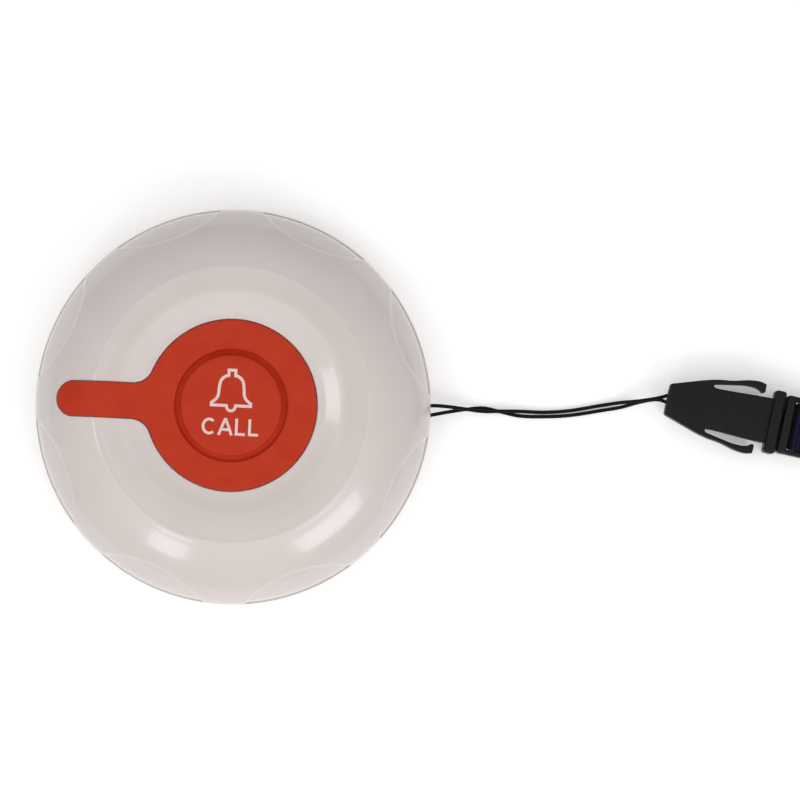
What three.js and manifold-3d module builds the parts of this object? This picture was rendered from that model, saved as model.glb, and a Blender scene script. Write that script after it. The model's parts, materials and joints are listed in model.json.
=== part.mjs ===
// Wireless call button: a round domed plastic housing with a red silicone key on top, the board,
// switch and battery inside it, and a neck strap that clips on through a small side-release buckle.
// Millimetres, +Z up. The origin is the centre of the housing's flat underside.
import * as THREE from "three";
import { mergeVertices } from "three/addons/utils/BufferGeometryUtils.js";
import Module from "manifold-3d";

const wasm = await Module();
wasm.setup();

// Fits
const GAP = 0.3; // between two pieces that seat on each other
const RUNNING_GAP = 0.05; // left between plunger and stem when the key is fully down
const SEAL_SQUEEZE_GAP = 0.1; // round the cord of the sealing ring

// Housing
const HOUSING_R = 41;
const WALL = 2.2;
const FLOOR = 2;
const RIM_Z = 7.5; // lower edge of the top cover
const BASE_EDGE_R = 4.5; // rounding under the base
const CREST_Z = 20.2;
const CREST_INNER_R = 24.4;
const CREST_OUTER_R = 28.6;
const CREST_FALL = 0.35; // drop from the crest to where the outer dome starts
const DISH_DEPTH = 1.4; // from the crest down to the key
const DOME_CENTRE_R = 14; // centre of the elliptical arc of the outer dome
const LIP_FIT = 0.2; // between the base's lip and the cover's wall
const LIP_THICKNESS = 1.2;
const LIP_HEIGHT = 1.9; // of the base's lip above the parting line
const SCALLOP_COUNT = 8;
const SCALLOP_R = 27;
const SCALLOP_REACH = 4.7; // how far a scallop cuts in from the rim
const SCALLOP_DEPTH = 0.35;

// Silicone key
const PAD_R = 17.55;
const TAB_INSET = 5.1; // of the tab's end from the rim
const TAB_WIDTH = 7.2;
const TAB_FILLET_R = 4.3;
const PAD_DEPTH = 0.9; // let into the cover
const PAD_PROUD = 0.3; // above the cover
const GROOVE_R = 11.6; // outer edge of the flexible groove
const WEB_THICKNESS = 0.45;
const CAP_R = 10.4;
const CAP_RAISE = 0.7; // of the cap's edge above the pad
const CAP_CROWN = 0.25;
const CAP_EDGE = 0.5;
const CAP_THICKNESS = 1.85;
const COVER_HOLE_R = 11.9;
const PLUNGER_R = 9;
const PLUNGER_THICKNESS = 0.8;
const PLUNGER_BOSS_R = 3.2;

// Travel of the key and of the switch under it
const KEY_TRAVEL = 0.8;
const STEM_TRAVEL = 0.35;

// Board and what stands on it
const BOARD_INSET = 6.4; // of the board's edge from the lip
const BOARD_THICKNESS = 1.6;
const BOARD_Z = 8;
const BOARD_CUT_Y = -13; // straight side beside the battery
const SWITCH_SIDE = 12;
const SWITCH_HEIGHT = 3.6;
const STEM_R = 3.4;
const STEM_RISE = 1.5; // of the stem above the switch body
const STEM_SUNK = 0.9; // of the stem inside the switch body
const LED_R = 1.5;
const LED_INSET = 12.5; // of the indicator from the rim, under the tab
const LED_BODY = 5.2;
const LED_LEG = 0.5;
const LED_FLANGE = 0.4;
const CHIP_SIZE = [5, 4, 1.5];
const CHIP_X = 13;
const CHIP_Y = 6;
const CAN_RIM = 0.3;
const RESONATOR_R = 4.2;
const RESONATOR_HEIGHT = 3.4;
const RESONATOR_PLACE = [12.6, -5.5];
const CAPACITOR_R = 2;
const CAPACITOR_HEIGHT = 5;
const CAPACITOR_PLACE = [-12, -5.5];
const RESISTOR_SIZE = [2, 1.25, 0.6];
const RESISTOR_XS = [-9, -3, 3, 9];
const RESISTOR_Y = 10;
const ANTENNA_R = 2.3;
const ANTENNA_WIRE_R = 0.35;
const ANTENNA_TURNS = 7;
const ANTENNA_PITCH = 2.4;
const ANTENNA_Y = 16.5;

// Battery and its contacts
const BATTERY_R = 5.15;
const BATTERY_LENGTH = 28.5;
const BATTERY_Y = -19.5;
const CONTACT_THICKNESS = 0.4;
const SPRING_LENGTH = 3;
const SPRING_WIRE_R = 0.3;
const SPRING_TURNS = 3.5;
const CRADLE_WALL = 1.2;

// Screws
const COVER_SCREW_R = 1.15;
const COVER_SCREW_LENGTH = 11;
const COVER_HEAD_R = 2.6;
const COVER_HEAD_HEIGHT = 1.6;
const COVER_SCREW_INSET = 4.9; // of the screws from the lip
const COVER_SCREW_ANGLES = [45, 135, 210, 330];
const BOSS_WALL = 2.5;
const BOSS_TOP_Z = 6.9;
const BOARD_SCREW_R = 0.8;
const BOARD_SCREW_LENGTH = 5;
const BOARD_HEAD_R = 1.9;
const BOARD_HEAD_HEIGHT = 1.1;
const BOARD_POST_WALL = 1.1;
const BOARD_SCREW_PLACES = [[0, 24.5], [-22, -7], [22, -7]];

// Lanyard string, and the posts that it passes round
const STRING_R = 0.4;
const POST_R = 0.8;
const POST_INSET = 3; // of the post in the housing from the lip
const STRING_Z = 3.9; // where it leaves the housing
const WINDOW_WIDTH = 6;
const WINDOW_HEIGHT = 2.4;

// Buckle: lengths along its own axis, from the string's end
const BUCKLE_X = 90;
const BUCKLE_Y = 5.8;
const BUCKLE_TURN = -9.6; // degrees
const SOCKET_THICKNESS = 5.4;
const SOCKET_BEVEL = 0.25;
const FLANGE_THICKNESS = 7.4;
const FLANGE_WIDTH = 13.2;
const FLANGE_START = 21.6;
const FLANGE_LENGTH = 2.4;
const FLANGE_BEVEL = 0.5;
const CAVITY_START = 12;
const CAVITY_WIDTH = 7;
const CAVITY_HEIGHT = 3.4;
const STRING_BAR_U = 2.4;
const STRING_SLOT_HEIGHT = 2.3;
const PLATE_LENGTH = 2;
const PLUG_WIDTH = 12.2;
const PLUG_THICKNESS = 7;
const RAIL_WIDTH = 1;
const WEB_WINDOW = 1.9;
const BAR_LENGTH = 1.8;
const BAR_THICKNESS = 2.6;
const PRONG_WIDTH = 1.1;
const PRONG_LENGTH = 8;
const TONGUE_WIDTH = 2.2;

// Neck strap: woven tape, both ends sewn round the buckle's bar, the rest wound into a flat coil
const STRAP_WIDTH = 9.8;
const STRAP_THICKNESS = 1.3;
const SEWN_LENGTH = 9;
const COIL_TANGENT_U = 85;
const COIL_MIDDLE_R = 47; // where the tape enters the coil
const COIL_OUTER_R = 50;
const COIL_INNER_R = 32;

// Facets
const ROUND = 48;
const SMALL_ROUND = 16;
const WIRE_SIDES = 6;
const WIRE_STEPS = 8; // in one turn of a wound wire

const radians = THREE.MathUtils.degToRad;
const point = (x, y) => new THREE.Vector2(x, y);

// A geometry with its shared corners merged, its empty triangles dropped and its faces pointing out.
function closed(source) {
  let geometry = source.clone();
  geometry.deleteAttribute("normal");
  geometry.deleteAttribute("uv");
  geometry = mergeVertices(geometry, 1e-4);
  const position = geometry.attributes.position;
  const kept = [];
  let volume = 0;
  const corners = [new THREE.Vector3(), new THREE.Vector3(), new THREE.Vector3()];
  for (let i = 0; i < geometry.index.count; i += 3) {
    const [a, b, c] = [0, 1, 2].map((k) => geometry.index.getX(i + k));
    if (a === b || b === c || c === a) continue;
    kept.push(a, b, c);
    [a, b, c].forEach((index, k) => corners[k].fromBufferAttribute(position, index));
    volume += corners[0].dot(corners[1].cross(corners[2]));
  }
  if (volume < 0) kept.reverse();
  geometry.setIndex(kept);
  return geometry;
}

function solid(geometry) {
  const merged = closed(geometry);
  const vertProperties = new Float32Array(merged.attributes.position.array);
  const triVerts = new Uint32Array(merged.index.array);
  return new wasm.Manifold(new wasm.Mesh({ numProp: 3, vertProperties, triVerts }));
}

function surface(manifold) {
  const mesh = manifold.getMesh();
  const geometry = new THREE.BufferGeometry();
  geometry.setAttribute("position", new THREE.BufferAttribute(mesh.vertProperties, 3));
  geometry.setIndex(new THREE.BufferAttribute(mesh.triVerts, 1));
  return geometry;
}

// A turned body about +Z from a profile of (radius, height) points.
function turned(profile, segments = ROUND) {
  return new THREE.LatheGeometry(profile, segments).rotateX(Math.PI / 2);
}

// A turned ring: its profile is closed on itself.
function ring(profile, segments = ROUND) {
  return turned([...profile, profile[0].clone()], segments);
}

function rod(radius, low, high, x = 0, y = 0, segments = SMALL_ROUND) {
  const geometry = new THREE.CylinderGeometry(radius, radius, high - low, segments);
  return geometry.rotateX(Math.PI / 2).translate(x, y, (low + high) / 2);
}

function block(xs, ys, zs) {
  const sizes = [xs, ys, zs].map(([low, high]) => high - low);
  const middles = [xs, ys, zs].map(([low, high]) => (low + high) / 2);
  return new THREE.BoxGeometry(...sizes).translate(...middles);
}

function prism(shape, low, high, curveSegments = 12) {
  const options = { depth: high - low, bevelEnabled: false, curveSegments };
  return new THREE.ExtrudeGeometry(shape, options).translate(0, 0, low);
}

// A wire, string or tube of round section along a curve.
function wire(curve, radius, steps, sides) {
  const section = new THREE.Shape();
  for (let i = 0; i < sides; i++) {
    const angle = (i / sides) * 2 * Math.PI;
    const x = radius * Math.cos(angle);
    const y = radius * Math.sin(angle);
    if (i === 0) section.moveTo(x, y);
    else section.lineTo(x, y);
  }
  section.closePath();
  return new THREE.ExtrudeGeometry(section, { steps, extrudePath: curve, bevelEnabled: false });
}

// A helix along +X from x = 0, its radius going evenly from one end to the other.
function helix(startR, endR, pitch, turns) {
  const points = [];
  for (let i = 0; i <= turns * WIRE_STEPS; i++) {
    const share = i / (turns * WIRE_STEPS);
    const radius = THREE.MathUtils.lerp(startR, endR, share);
    const angle = (i / WIRE_STEPS) * 2 * Math.PI;
    const along = (i / WIRE_STEPS) * pitch;
    points.push(new THREE.Vector3(along, radius * Math.cos(angle), radius * Math.sin(angle)));
  }
  return new THREE.CatmullRomCurve3(points);
}

function joined(...geometries) {
  return geometries.map(solid).reduce((whole, piece) => whole.add(piece));
}

const object = new THREE.Group();

function piece(name, geometry, material, parent = object) {
  const mesh = new THREE.Mesh(closed(geometry), material);
  mesh.name = name;
  parent.add(mesh);
  return mesh;
}

function finish(color, roughness, metalness = 0) {
  return new THREE.MeshStandardMaterial({ color, roughness, metalness });
}

const glossWhite = finish(0xdcd5d1, 0.18);
const redSilicone = finish(0xc33a23, 0.55);
const blackRubber = finish(0x202020, 0.8);
const innerPlastic = finish(0xe6e4de, 0.5);
const boardGreen = finish(0x1d5b35, 0.45);
const blackPlastic = finish(0x242322, 0.45);
const steel = finish(0xb9bbbd, 0.3, 1);
const brass = finish(0xc9a04a, 0.3, 1);
const batteryWrap = finish(0x2e3f6e, 0.35);
const ledRed = finish(0xd23a32, 0.15);
const blackCord = finish(0x19191b, 0.85);
const navyTape = finish(0x12143a, 0.9);
const ceramic = finish(0x3a3532, 0.6);

// Lip of the base, and what is placed from it and from the rim
const LIP_OUTER_R = HOUSING_R - WALL - LIP_FIT;
const LIP_INNER_R = LIP_OUTER_R - LIP_THICKNESS;
const COVER_SCREW_RING = LIP_INNER_R - COVER_SCREW_INSET;
const POST_X = LIP_INNER_R - POST_INSET;
const BOARD_R = LIP_INNER_R - BOARD_INSET;
const TAB_LENGTH = HOUSING_R - TAB_INSET; // from the key's centre
const LED_PLACE = HOUSING_R - LED_INSET;

// Outer skin of the housing

const DISH_Z = CREST_Z - DISH_DEPTH;
const DOME_START_Z = CREST_Z - CREST_FALL;
const DOME_WIDTH = HOUSING_R - DOME_CENTRE_R;
const DOME_START = Math.acos((CREST_OUTER_R - DOME_CENTRE_R) / DOME_WIDTH);
const DOME_HEIGHT = (DOME_START_Z - RIM_Z) / Math.sin(DOME_START);

// Height of the skin above a point at this distance from the axis.
function skinHeight(radius) {
  if (radius <= PAD_R) return DISH_Z;
  if (radius <= CREST_INNER_R) {
    return DISH_Z + DISH_DEPTH * THREE.MathUtils.smoothstep(radius, PAD_R, CREST_INNER_R);
  }
  if (radius <= CREST_OUTER_R) {
    const share = (radius - CREST_INNER_R) / (CREST_OUTER_R - CREST_INNER_R);
    return CREST_Z - CREST_FALL * share * share;
  }
  return RIM_Z + DOME_HEIGHT * Math.sin(Math.acos((radius - DOME_CENTRE_R) / DOME_WIDTH));
}

// The skin's profile from the radius given out to the rim.
function skinProfile(startR) {
  const radii = [startR];
  const dishSteps = 4;
  for (let i = 0; i <= dishSteps; i++) {
    radii.push(THREE.MathUtils.lerp(PAD_R, CREST_INNER_R, i / dishSteps));
  }
  radii.push((CREST_INNER_R + CREST_OUTER_R) / 2, CREST_OUTER_R);
  const profile = radii.map((radius) => point(radius, skinHeight(radius)));
  const domeSteps = 7;
  for (let i = 1; i <= domeSteps; i++) {
    const angle = DOME_START * (1 - i / domeSteps);
    const height = RIM_Z + DOME_HEIGHT * Math.sin(angle);
    profile.push(point(DOME_CENTRE_R + DOME_WIDTH * Math.cos(angle), height));
  }
  return profile;
}

// Each point of a profile moved along its own normal, outwards for a positive distance.
function moved(profile, distance) {
  return profile.map((at, i) => {
    const before = profile[Math.max(i - 1, 0)];
    const after = profile[Math.min(i + 1, profile.length - 1)];
    const along = after.clone().sub(before).normalize();
    return point(at.x - along.y * distance, at.y + along.x * distance);
  });
}

// Everything below the skin, or below a layer at this distance from it.
function underSkin(distance) {
  const layer = moved(skinProfile(0), distance);
  const rim = layer[layer.length - 1];
  return solid(turned([point(0, -1), point(rim.x, -1), ...layer.reverse()]));
}

// The key's outline: a disc and a straight tab with a round end, joined by hollow fillets.
function keyOutline(grow) {
  const radius = PAD_R + grow;
  const half = TAB_WIDTH / 2 + grow;
  const fillet = TAB_FILLET_R - grow;
  const filletY = half + fillet;
  const filletX = -Math.sqrt((radius + fillet) ** 2 - filletY ** 2);
  const meet = Math.atan2(filletY, filletX);
  const tipX = -TAB_LENGTH + TAB_WIDTH / 2;
  const arcs = [
    [0, 0, radius, meet, -meet, 36],
    [filletX, -filletY, fillet, Math.PI - meet, Math.PI / 2, 4],
    [tipX, 0, half, -Math.PI / 2, -1.5 * Math.PI, 10],
    [filletX, filletY, fillet, -Math.PI / 2, meet - Math.PI, 4],
  ];
  const points = arcs.flatMap(([x, y, r, from, to, steps]) => {
    const angles = Array.from({ length: steps + 1 }, (_, i) => from + ((to - from) * i) / steps);
    return angles.map((angle) => point(x + r * Math.cos(angle), y + r * Math.sin(angle)));
  });
  points.pop();
  return new THREE.Shape(points);
}

const ABOVE = CREST_Z + 10; // clear of everything

// Places of the four cover screws
const bossPlaces = COVER_SCREW_ANGLES.map((angle) => [
  COVER_SCREW_RING * Math.cos(radians(angle)),
  COVER_SCREW_RING * Math.sin(radians(angle)),
]);
const BOSS_R = COVER_SCREW_R + GAP + BOSS_WALL;
const COVER_HEAD_Z = 0.4; // screw heads lie this far inside the base
const COVER_HEAD_SEAT = COVER_HEAD_Z + COVER_HEAD_HEIGHT;

// Top cover: moulded shell with the key's recess, eight scallops and its screw bosses

function topCover() {
  const outside = skinProfile(COVER_HOLE_R);
  const inside = moved(outside, -WALL).filter((at) => at.y > RIM_Z + LIP_HEIGHT + 2 * GAP);
  const shoulderR = LIP_OUTER_R + GAP;
  const shell = [
    ...outside,
    point(shoulderR, RIM_Z),
    point(shoulderR, RIM_Z + LIP_HEIGHT + GAP),
    ...inside.reverse(),
  ];
  let cover = solid(ring(shell));
  const skinCore = underSkin(-WALL / 2);
  for (const [x, y] of bossPlaces) {
    cover = cover.add(solid(rod(BOSS_R, BOSS_TOP_Z + GAP, ABOVE, x, y)).intersect(skinCore));
  }
  const stop = solid(rod(POST_R + 2 * STRING_R, RIM_Z, ABOVE, POST_X, 0)).intersect(skinCore);
  cover = cover.add(stop);
  for (const [x, y] of bossPlaces) {
    const end = COVER_HEAD_SEAT + COVER_SCREW_LENGTH + GAP;
    cover = cover.subtract(solid(rod(COVER_SCREW_R + GAP, 0, end, x, y)));
  }
  const recess = solid(prism(keyOutline(GAP), 0, ABOVE));
  cover = cover.subtract(recess.subtract(underSkin(-PAD_DEPTH - GAP)));
  cover = cover.subtract(solid(rod(LED_R + GAP, RIM_Z, ABOVE, -LED_PLACE, 0)));
  const outsideScallop = underSkin(-SCALLOP_DEPTH);
  for (let i = 0; i < SCALLOP_COUNT; i++) {
    const angle = ((i + 0.5) / SCALLOP_COUNT) * 2 * Math.PI;
    const distance = HOUSING_R - SCALLOP_REACH + SCALLOP_R;
    const [x, y] = [distance * Math.cos(angle), distance * Math.sin(angle)];
    const cutter = solid(rod(SCALLOP_R, -1, ABOVE, x, y, ROUND));
    cover = cover.subtract(cutter.subtract(outsideScallop));
  }
  return surface(cover);
}

// Base cover: moulded tray with the lip, seal groove, screw bosses, board posts, battery cradle
// and the post that the lanyard string passes round

const BASE_RIM_Z = RIM_Z - GAP;
const SEAL_R = 0.5;
const SEAL_RING_R = (HOUSING_R + LIP_OUTER_R) / 2 - LIP_FIT;
const SEAL_Z = BASE_RIM_Z - SEAL_R + GAP - SEAL_SQUEEZE_GAP;
const SEAL_GROOVE = SEAL_R + SEAL_SQUEEZE_GAP;
const BATTERY_Z = FLOOR + GAP + BATTERY_R;
const BATTERY_LOW_X = -BATTERY_LENGTH / 2 + 1;
const BATTERY_HIGH_X = BATTERY_LOW_X + BATTERY_LENGTH;
const PLATE_X = BATTERY_HIGH_X + GAP;
const SPRING_X = BATTERY_LOW_X - GAP - SPRING_WIRE_R;
const CRADLE_LOW_X = SPRING_X - SPRING_LENGTH - SPRING_WIRE_R - GAP;
const CRADLE_HIGH_X = PLATE_X + CONTACT_THICKNESS + GAP;
const CRADLE_SIDE = BATTERY_R + GAP + CRADLE_WALL;
const WINDOW_Z = [STRING_Z - WINDOW_HEIGHT / 2, STRING_Z + WINDOW_HEIGHT / 2];

function baseCover() {
  const arc = [];
  const arcSteps = 5;
  for (let i = 0; i <= arcSteps; i++) {
    const angle = (i / arcSteps) * (Math.PI / 2);
    const flatR = HOUSING_R - BASE_EDGE_R;
    arc.push(point(flatR + BASE_EDGE_R * Math.sin(angle), BASE_EDGE_R * (1 - Math.cos(angle))));
  }
  const profile = [
    point(0, 0),
    ...arc,
    point(HOUSING_R, BASE_RIM_Z),
    point(SEAL_RING_R + SEAL_GROOVE, BASE_RIM_Z),
    point(SEAL_RING_R + SEAL_GROOVE, SEAL_Z - SEAL_GROOVE),
    point(SEAL_RING_R - SEAL_GROOVE, SEAL_Z - SEAL_GROOVE),
    point(SEAL_RING_R - SEAL_GROOVE, BASE_RIM_Z),
    point(LIP_OUTER_R, BASE_RIM_Z),
    point(LIP_OUTER_R, RIM_Z + LIP_HEIGHT),
    point(LIP_INNER_R, RIM_Z + LIP_HEIGHT),
    point(LIP_INNER_R, BASE_EDGE_R),
    point(LIP_INNER_R - FLOOR, FLOOR),
    point(0, FLOOR),
  ];
  let base = solid(turned(profile));
  for (const [x, y] of bossPlaces) {
    base = base.add(solid(rod(BOSS_R, FLOOR / 2, BOSS_TOP_Z, x, y)));
  }
  for (const [x, y] of BOARD_SCREW_PLACES) {
    const radius = BOARD_SCREW_R + GAP + BOARD_POST_WALL;
    base = base.add(solid(rod(radius, FLOOR / 2, BOARD_Z - GAP, x, y)));
  }
  base = base.add(solid(rod(POST_R, FLOOR / 2, RIM_Z - GAP, POST_X, 0)));
  const sides = [BATTERY_Y - CRADLE_SIDE, BATTERY_Y + CRADLE_SIDE];
  const endHeights = [FLOOR / 2, BATTERY_Z + BATTERY_R / 2];
  const ribHeights = [FLOOR / 2, BATTERY_Z];
  const ends = [
    [CRADLE_LOW_X - CRADLE_WALL, CRADLE_LOW_X],
    [CRADLE_HIGH_X, CRADLE_HIGH_X + CRADLE_WALL],
  ];
  for (const end of ends) {
    base = base.add(solid(block(end, [sides[0], BOARD_CUT_Y - GAP], endHeights)));
  }
  for (const share of [0.25, 0.75]) {
    const x = THREE.MathUtils.lerp(BATTERY_LOW_X, BATTERY_HIGH_X, share);
    base = base.add(solid(block([x - CRADLE_WALL / 2, x + CRADLE_WALL / 2], sides, ribHeights)));
  }
  const seat = new THREE.CylinderGeometry(BATTERY_R + GAP, BATTERY_R + GAP, BATTERY_LENGTH, 32);
  seat.rotateZ(Math.PI / 2).translate((BATTERY_LOW_X + BATTERY_HIGH_X) / 2, BATTERY_Y, BATTERY_Z);
  const floorUnder = solid(block([-HOUSING_R, HOUSING_R], [-HOUSING_R, HOUSING_R], [0, FLOOR]));
  base = base.subtract(solid(seat).subtract(floorUnder));
  for (const [x, y] of bossPlaces) {
    base = base.subtract(solid(rod(COVER_SCREW_R + GAP, -1, BOSS_TOP_Z + 1, x, y)));
    base = base.subtract(solid(rod(COVER_HEAD_R + GAP, -1, COVER_HEAD_SEAT + GAP, x, y)));
  }
  for (const [x, y] of BOARD_SCREW_PLACES) {
    const low = BOARD_Z + BOARD_THICKNESS - BOARD_SCREW_LENGTH;
    base = base.subtract(solid(rod(BOARD_SCREW_R + GAP, low, BOARD_Z, x, y)));
  }
  const windowY = [-WINDOW_WIDTH / 2, WINDOW_WIDTH / 2];
  const windowX = [LIP_INNER_R - FLOOR, HOUSING_R + 1];
  base = base.subtract(solid(block(windowX, windowY, WINDOW_Z)));
  return surface(base);
}

function sealRing() {
  const profile = [];
  for (let i = 0; i < WIRE_SIDES; i++) {
    const angle = (i / WIRE_SIDES) * 2 * Math.PI;
    profile.push(point(SEAL_RING_R + SEAL_R * Math.cos(angle), SEAL_Z + SEAL_R * Math.sin(angle)));
  }
  return ring(profile);
}

// Silicone key: pad with tab, its thin groove, and the cap that is pressed

const PAD_TOP_Z = DISH_Z + PAD_PROUD;
const PAD_UNDER_Z = DISH_Z - PAD_DEPTH;
const CAP_EDGE_Z = PAD_TOP_Z + CAP_RAISE;
const CAP_UNDER_Z = CAP_EDGE_Z - CAP_THICKNESS;

function siliconePad() {
  let pad = solid(prism(keyOutline(0), 0, ABOVE));
  pad = pad.intersect(underSkin(PAD_PROUD)).subtract(underSkin(-PAD_DEPTH));
  pad = pad.subtract(solid(rod(GROOVE_R, PAD_UNDER_Z + WEB_THICKNESS, ABOVE, 0, 0, ROUND)));
  pad = pad.subtract(solid(rod(CAP_R + GAP, 0, ABOVE, 0, 0, ROUND)));
  return surface(pad);
}

function buttonCap() {
  return turned([
    point(0, CAP_UNDER_Z),
    point(CAP_R, CAP_UNDER_Z),
    point(CAP_R, CAP_EDGE_Z - CAP_EDGE),
    point(CAP_R - CAP_EDGE * 0.3, CAP_EDGE_Z - CAP_EDGE * 0.3),
    point(CAP_R - CAP_EDGE, CAP_EDGE_Z),
    point(CAP_R / 2, CAP_EDGE_Z + CAP_CROWN * 0.75),
    point(0, CAP_EDGE_Z + CAP_CROWN),
  ], 40);
}

// Board, switch and the parts soldered on it

const BOARD_TOP = BOARD_Z + BOARD_THICKNESS;
const PART_Z = BOARD_TOP + GAP;
const SWITCH_TOP = PART_Z + SWITCH_HEIGHT;
const STEM_TOP = SWITCH_TOP + STEM_RISE;
const PLUNGER_LOW = STEM_TOP + KEY_TRAVEL - STEM_TRAVEL + RUNNING_GAP;
const PLUNGER_TOP = CAP_UNDER_Z - GAP;

function buttonPlunger() {
  const step = PLUNGER_TOP - PLUNGER_THICKNESS;
  return turned([
    point(0, PLUNGER_LOW),
    point(PLUNGER_BOSS_R, PLUNGER_LOW),
    point(PLUNGER_BOSS_R, step),
    point(PLUNGER_R, step),
    point(PLUNGER_R, PLUNGER_TOP),
    point(0, PLUNGER_TOP),
  ], 32);
}

function circuitBoard() {
  const cut = Math.asin(BOARD_CUT_Y / BOARD_R);
  const outline = new THREE.Shape();
  outline.absarc(0, 0, BOARD_R, cut, Math.PI - cut, false);
  let board = solid(prism(outline, BOARD_Z, BOARD_TOP, ROUND));
  for (const [x, y] of bossPlaces) {
    board = board.subtract(solid(rod(BOSS_R + GAP, 0, ABOVE, x, y)));
  }
  for (const [x, y] of BOARD_SCREW_PLACES) {
    board = board.subtract(solid(rod(BOARD_SCREW_R + GAP, 0, ABOVE, x, y, 12)));
  }
  return surface(board);
}

function switchBody() {
  const half = SWITCH_SIDE / 2;
  const body = solid(block([-half, half], [-half, half], [PART_Z, SWITCH_TOP]));
  const bottom = SWITCH_TOP - STEM_SUNK - STEM_TRAVEL - GAP;
  return surface(body.subtract(solid(rod(STEM_R + GAP, bottom, ABOVE))));
}

function indicatorLed() {
  const top = skinHeight(LED_PLACE) - PAD_DEPTH - 2 * GAP;
  const low = top - LED_BODY;
  const flangeR = LED_R + LED_FLANGE;
  const lens = turned([
    point(0, low),
    point(flangeR, low),
    point(flangeR, low + 1),
    point(LED_R, low + 1),
    point(LED_R, top - LED_R),
    point(LED_R * 0.87, top - LED_R * 0.5),
    point(LED_R * 0.5, top - LED_R * 0.13),
    point(0, top),
  ], SMALL_ROUND);
  const legs = [-1, 1].map((side) => {
    const y = side * LED_R * 0.8;
    const half = LED_LEG / 2;
    return block([-half, half], [y - half, y + half], [PART_Z, low + GAP]);
  });
  return surface(joined(lens, ...legs).translate([-LED_PLACE, 0, 0]));
}

function chip([length, width, height], x, y) {
  const xs = [x - length / 2, x + length / 2];
  return block(xs, [y - width / 2, y + width / 2], [PART_Z, PART_Z + height]);
}

function can(radius, height, [x, y]) {
  const top = PART_Z + height;
  const rimR = radius + CAN_RIM;
  return turned([
    point(0, PART_Z),
    point(rimR, PART_Z),
    point(rimR, PART_Z + 0.6),
    point(radius, PART_Z + 0.6),
    point(radius, top - 0.3),
    point(radius - 0.3, top),
    point(0, top),
  ], SMALL_ROUND).translate(x, y, 0);
}

function antennaCoil() {
  const curve = helix(ANTENNA_R, ANTENNA_R, ANTENNA_PITCH, ANTENNA_TURNS);
  const z = PART_Z + ANTENNA_R + ANTENNA_WIRE_R;
  const length = ANTENNA_PITCH * ANTENNA_TURNS;
  const steps = ANTENNA_TURNS * WIRE_STEPS;
  return wire(curve, ANTENNA_WIRE_R, steps, WIRE_SIDES).translate(-length / 2, ANTENNA_Y, z);
}

// Battery: a small 12 V cell in its cradle, between a conical spring and a plate

function battery() {
  const nubR = 2;
  const nubLength = 0.8;
  const profile = [
    point(0, 0),
    point(BATTERY_R - 0.4, 0),
    point(BATTERY_R, 0.4),
    point(BATTERY_R, BATTERY_LENGTH - nubLength - 0.4),
    point(BATTERY_R - 0.4, BATTERY_LENGTH - nubLength),
    point(nubR, BATTERY_LENGTH - nubLength),
    point(nubR, BATTERY_LENGTH),
    point(0, BATTERY_LENGTH),
  ];
  const cell = turned(profile, 32).rotateY(Math.PI / 2);
  return cell.translate(BATTERY_LOW_X, BATTERY_Y, BATTERY_Z);
}

function batterySpring() {
  const pitch = SPRING_LENGTH / SPRING_TURNS;
  const large = BATTERY_R - 2 * SPRING_WIRE_R - GAP;
  const curve = helix(large, large / 2, pitch, SPRING_TURNS);
  const coil = wire(curve, SPRING_WIRE_R, SPRING_TURNS * WIRE_STEPS, WIRE_SIDES);
  return coil.translate(SPRING_X - SPRING_LENGTH, BATTERY_Y, BATTERY_Z);
}

function batteryPlate() {
  const xs = [PLATE_X, PLATE_X + CONTACT_THICKNESS];
  const half = BATTERY_R * 0.75;
  const face = block(xs, [BATTERY_Y - half, BATTERY_Y + half], [FLOOR + GAP, BATTERY_Z + half]);
  const tailY = [BATTERY_Y, BOARD_CUT_Y + 2];
  const tail = block(xs, tailY, [BOARD_Z - GAP - 2, BOARD_Z - GAP]);
  return surface(joined(face, tail));
}

// Screws, threaded lengths left plain

function screw(headR, headHeight, shankR, length) {
  return turned([
    point(0, 0),
    point(headR - 0.3, 0),
    point(headR, 0.3),
    point(headR, headHeight),
    point(shankR, headHeight),
    point(shankR, headHeight + length - shankR),
    point(0, headHeight + length),
  ], 16);
}

piece("base_cover", baseCover(), glossWhite);
piece("top_cover", topCover(), glossWhite);
piece("seal_ring", sealRing(), blackRubber);
piece("silicone_pad", siliconePad(), redSilicone);
piece("button_cap", buttonCap(), redSilicone);
piece("button_plunger", buttonPlunger(), innerPlastic);
piece("circuit_board", circuitBoard(), boardGreen);
piece("switch_body", switchBody(), blackPlastic);
piece("switch_stem", rod(STEM_R, SWITCH_TOP - STEM_SUNK, STEM_TOP), innerPlastic);
piece("indicator_led", indicatorLed(), ledRed);
piece("radio_chip", chip(CHIP_SIZE, CHIP_X, CHIP_Y), blackPlastic);
piece("encoder_chip", chip(CHIP_SIZE, -CHIP_X, CHIP_Y), blackPlastic);
piece("resonator_can", can(RESONATOR_R, RESONATOR_HEIGHT, RESONATOR_PLACE), steel);
piece("filter_capacitor", can(CAPACITOR_R, CAPACITOR_HEIGHT, CAPACITOR_PLACE), steel);
piece("antenna_coil", antennaCoil(), brass);
RESISTOR_XS.forEach((x, i) => {
  piece(`chip_resistor_${i + 1}`, chip(RESISTOR_SIZE, x, RESISTOR_Y), ceramic);
});
piece("battery", battery(), batteryWrap);
piece("battery_spring", batterySpring(), steel);
piece("battery_plate", batteryPlate(), steel);
bossPlaces.forEach(([x, y], i) => {
  const shape = screw(COVER_HEAD_R, COVER_HEAD_HEIGHT, COVER_SCREW_R, COVER_SCREW_LENGTH);
  const mesh = piece(`cover_screw_${i + 1}`, shape, steel);
  mesh.position.set(x, y, COVER_HEAD_Z);
});
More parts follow.
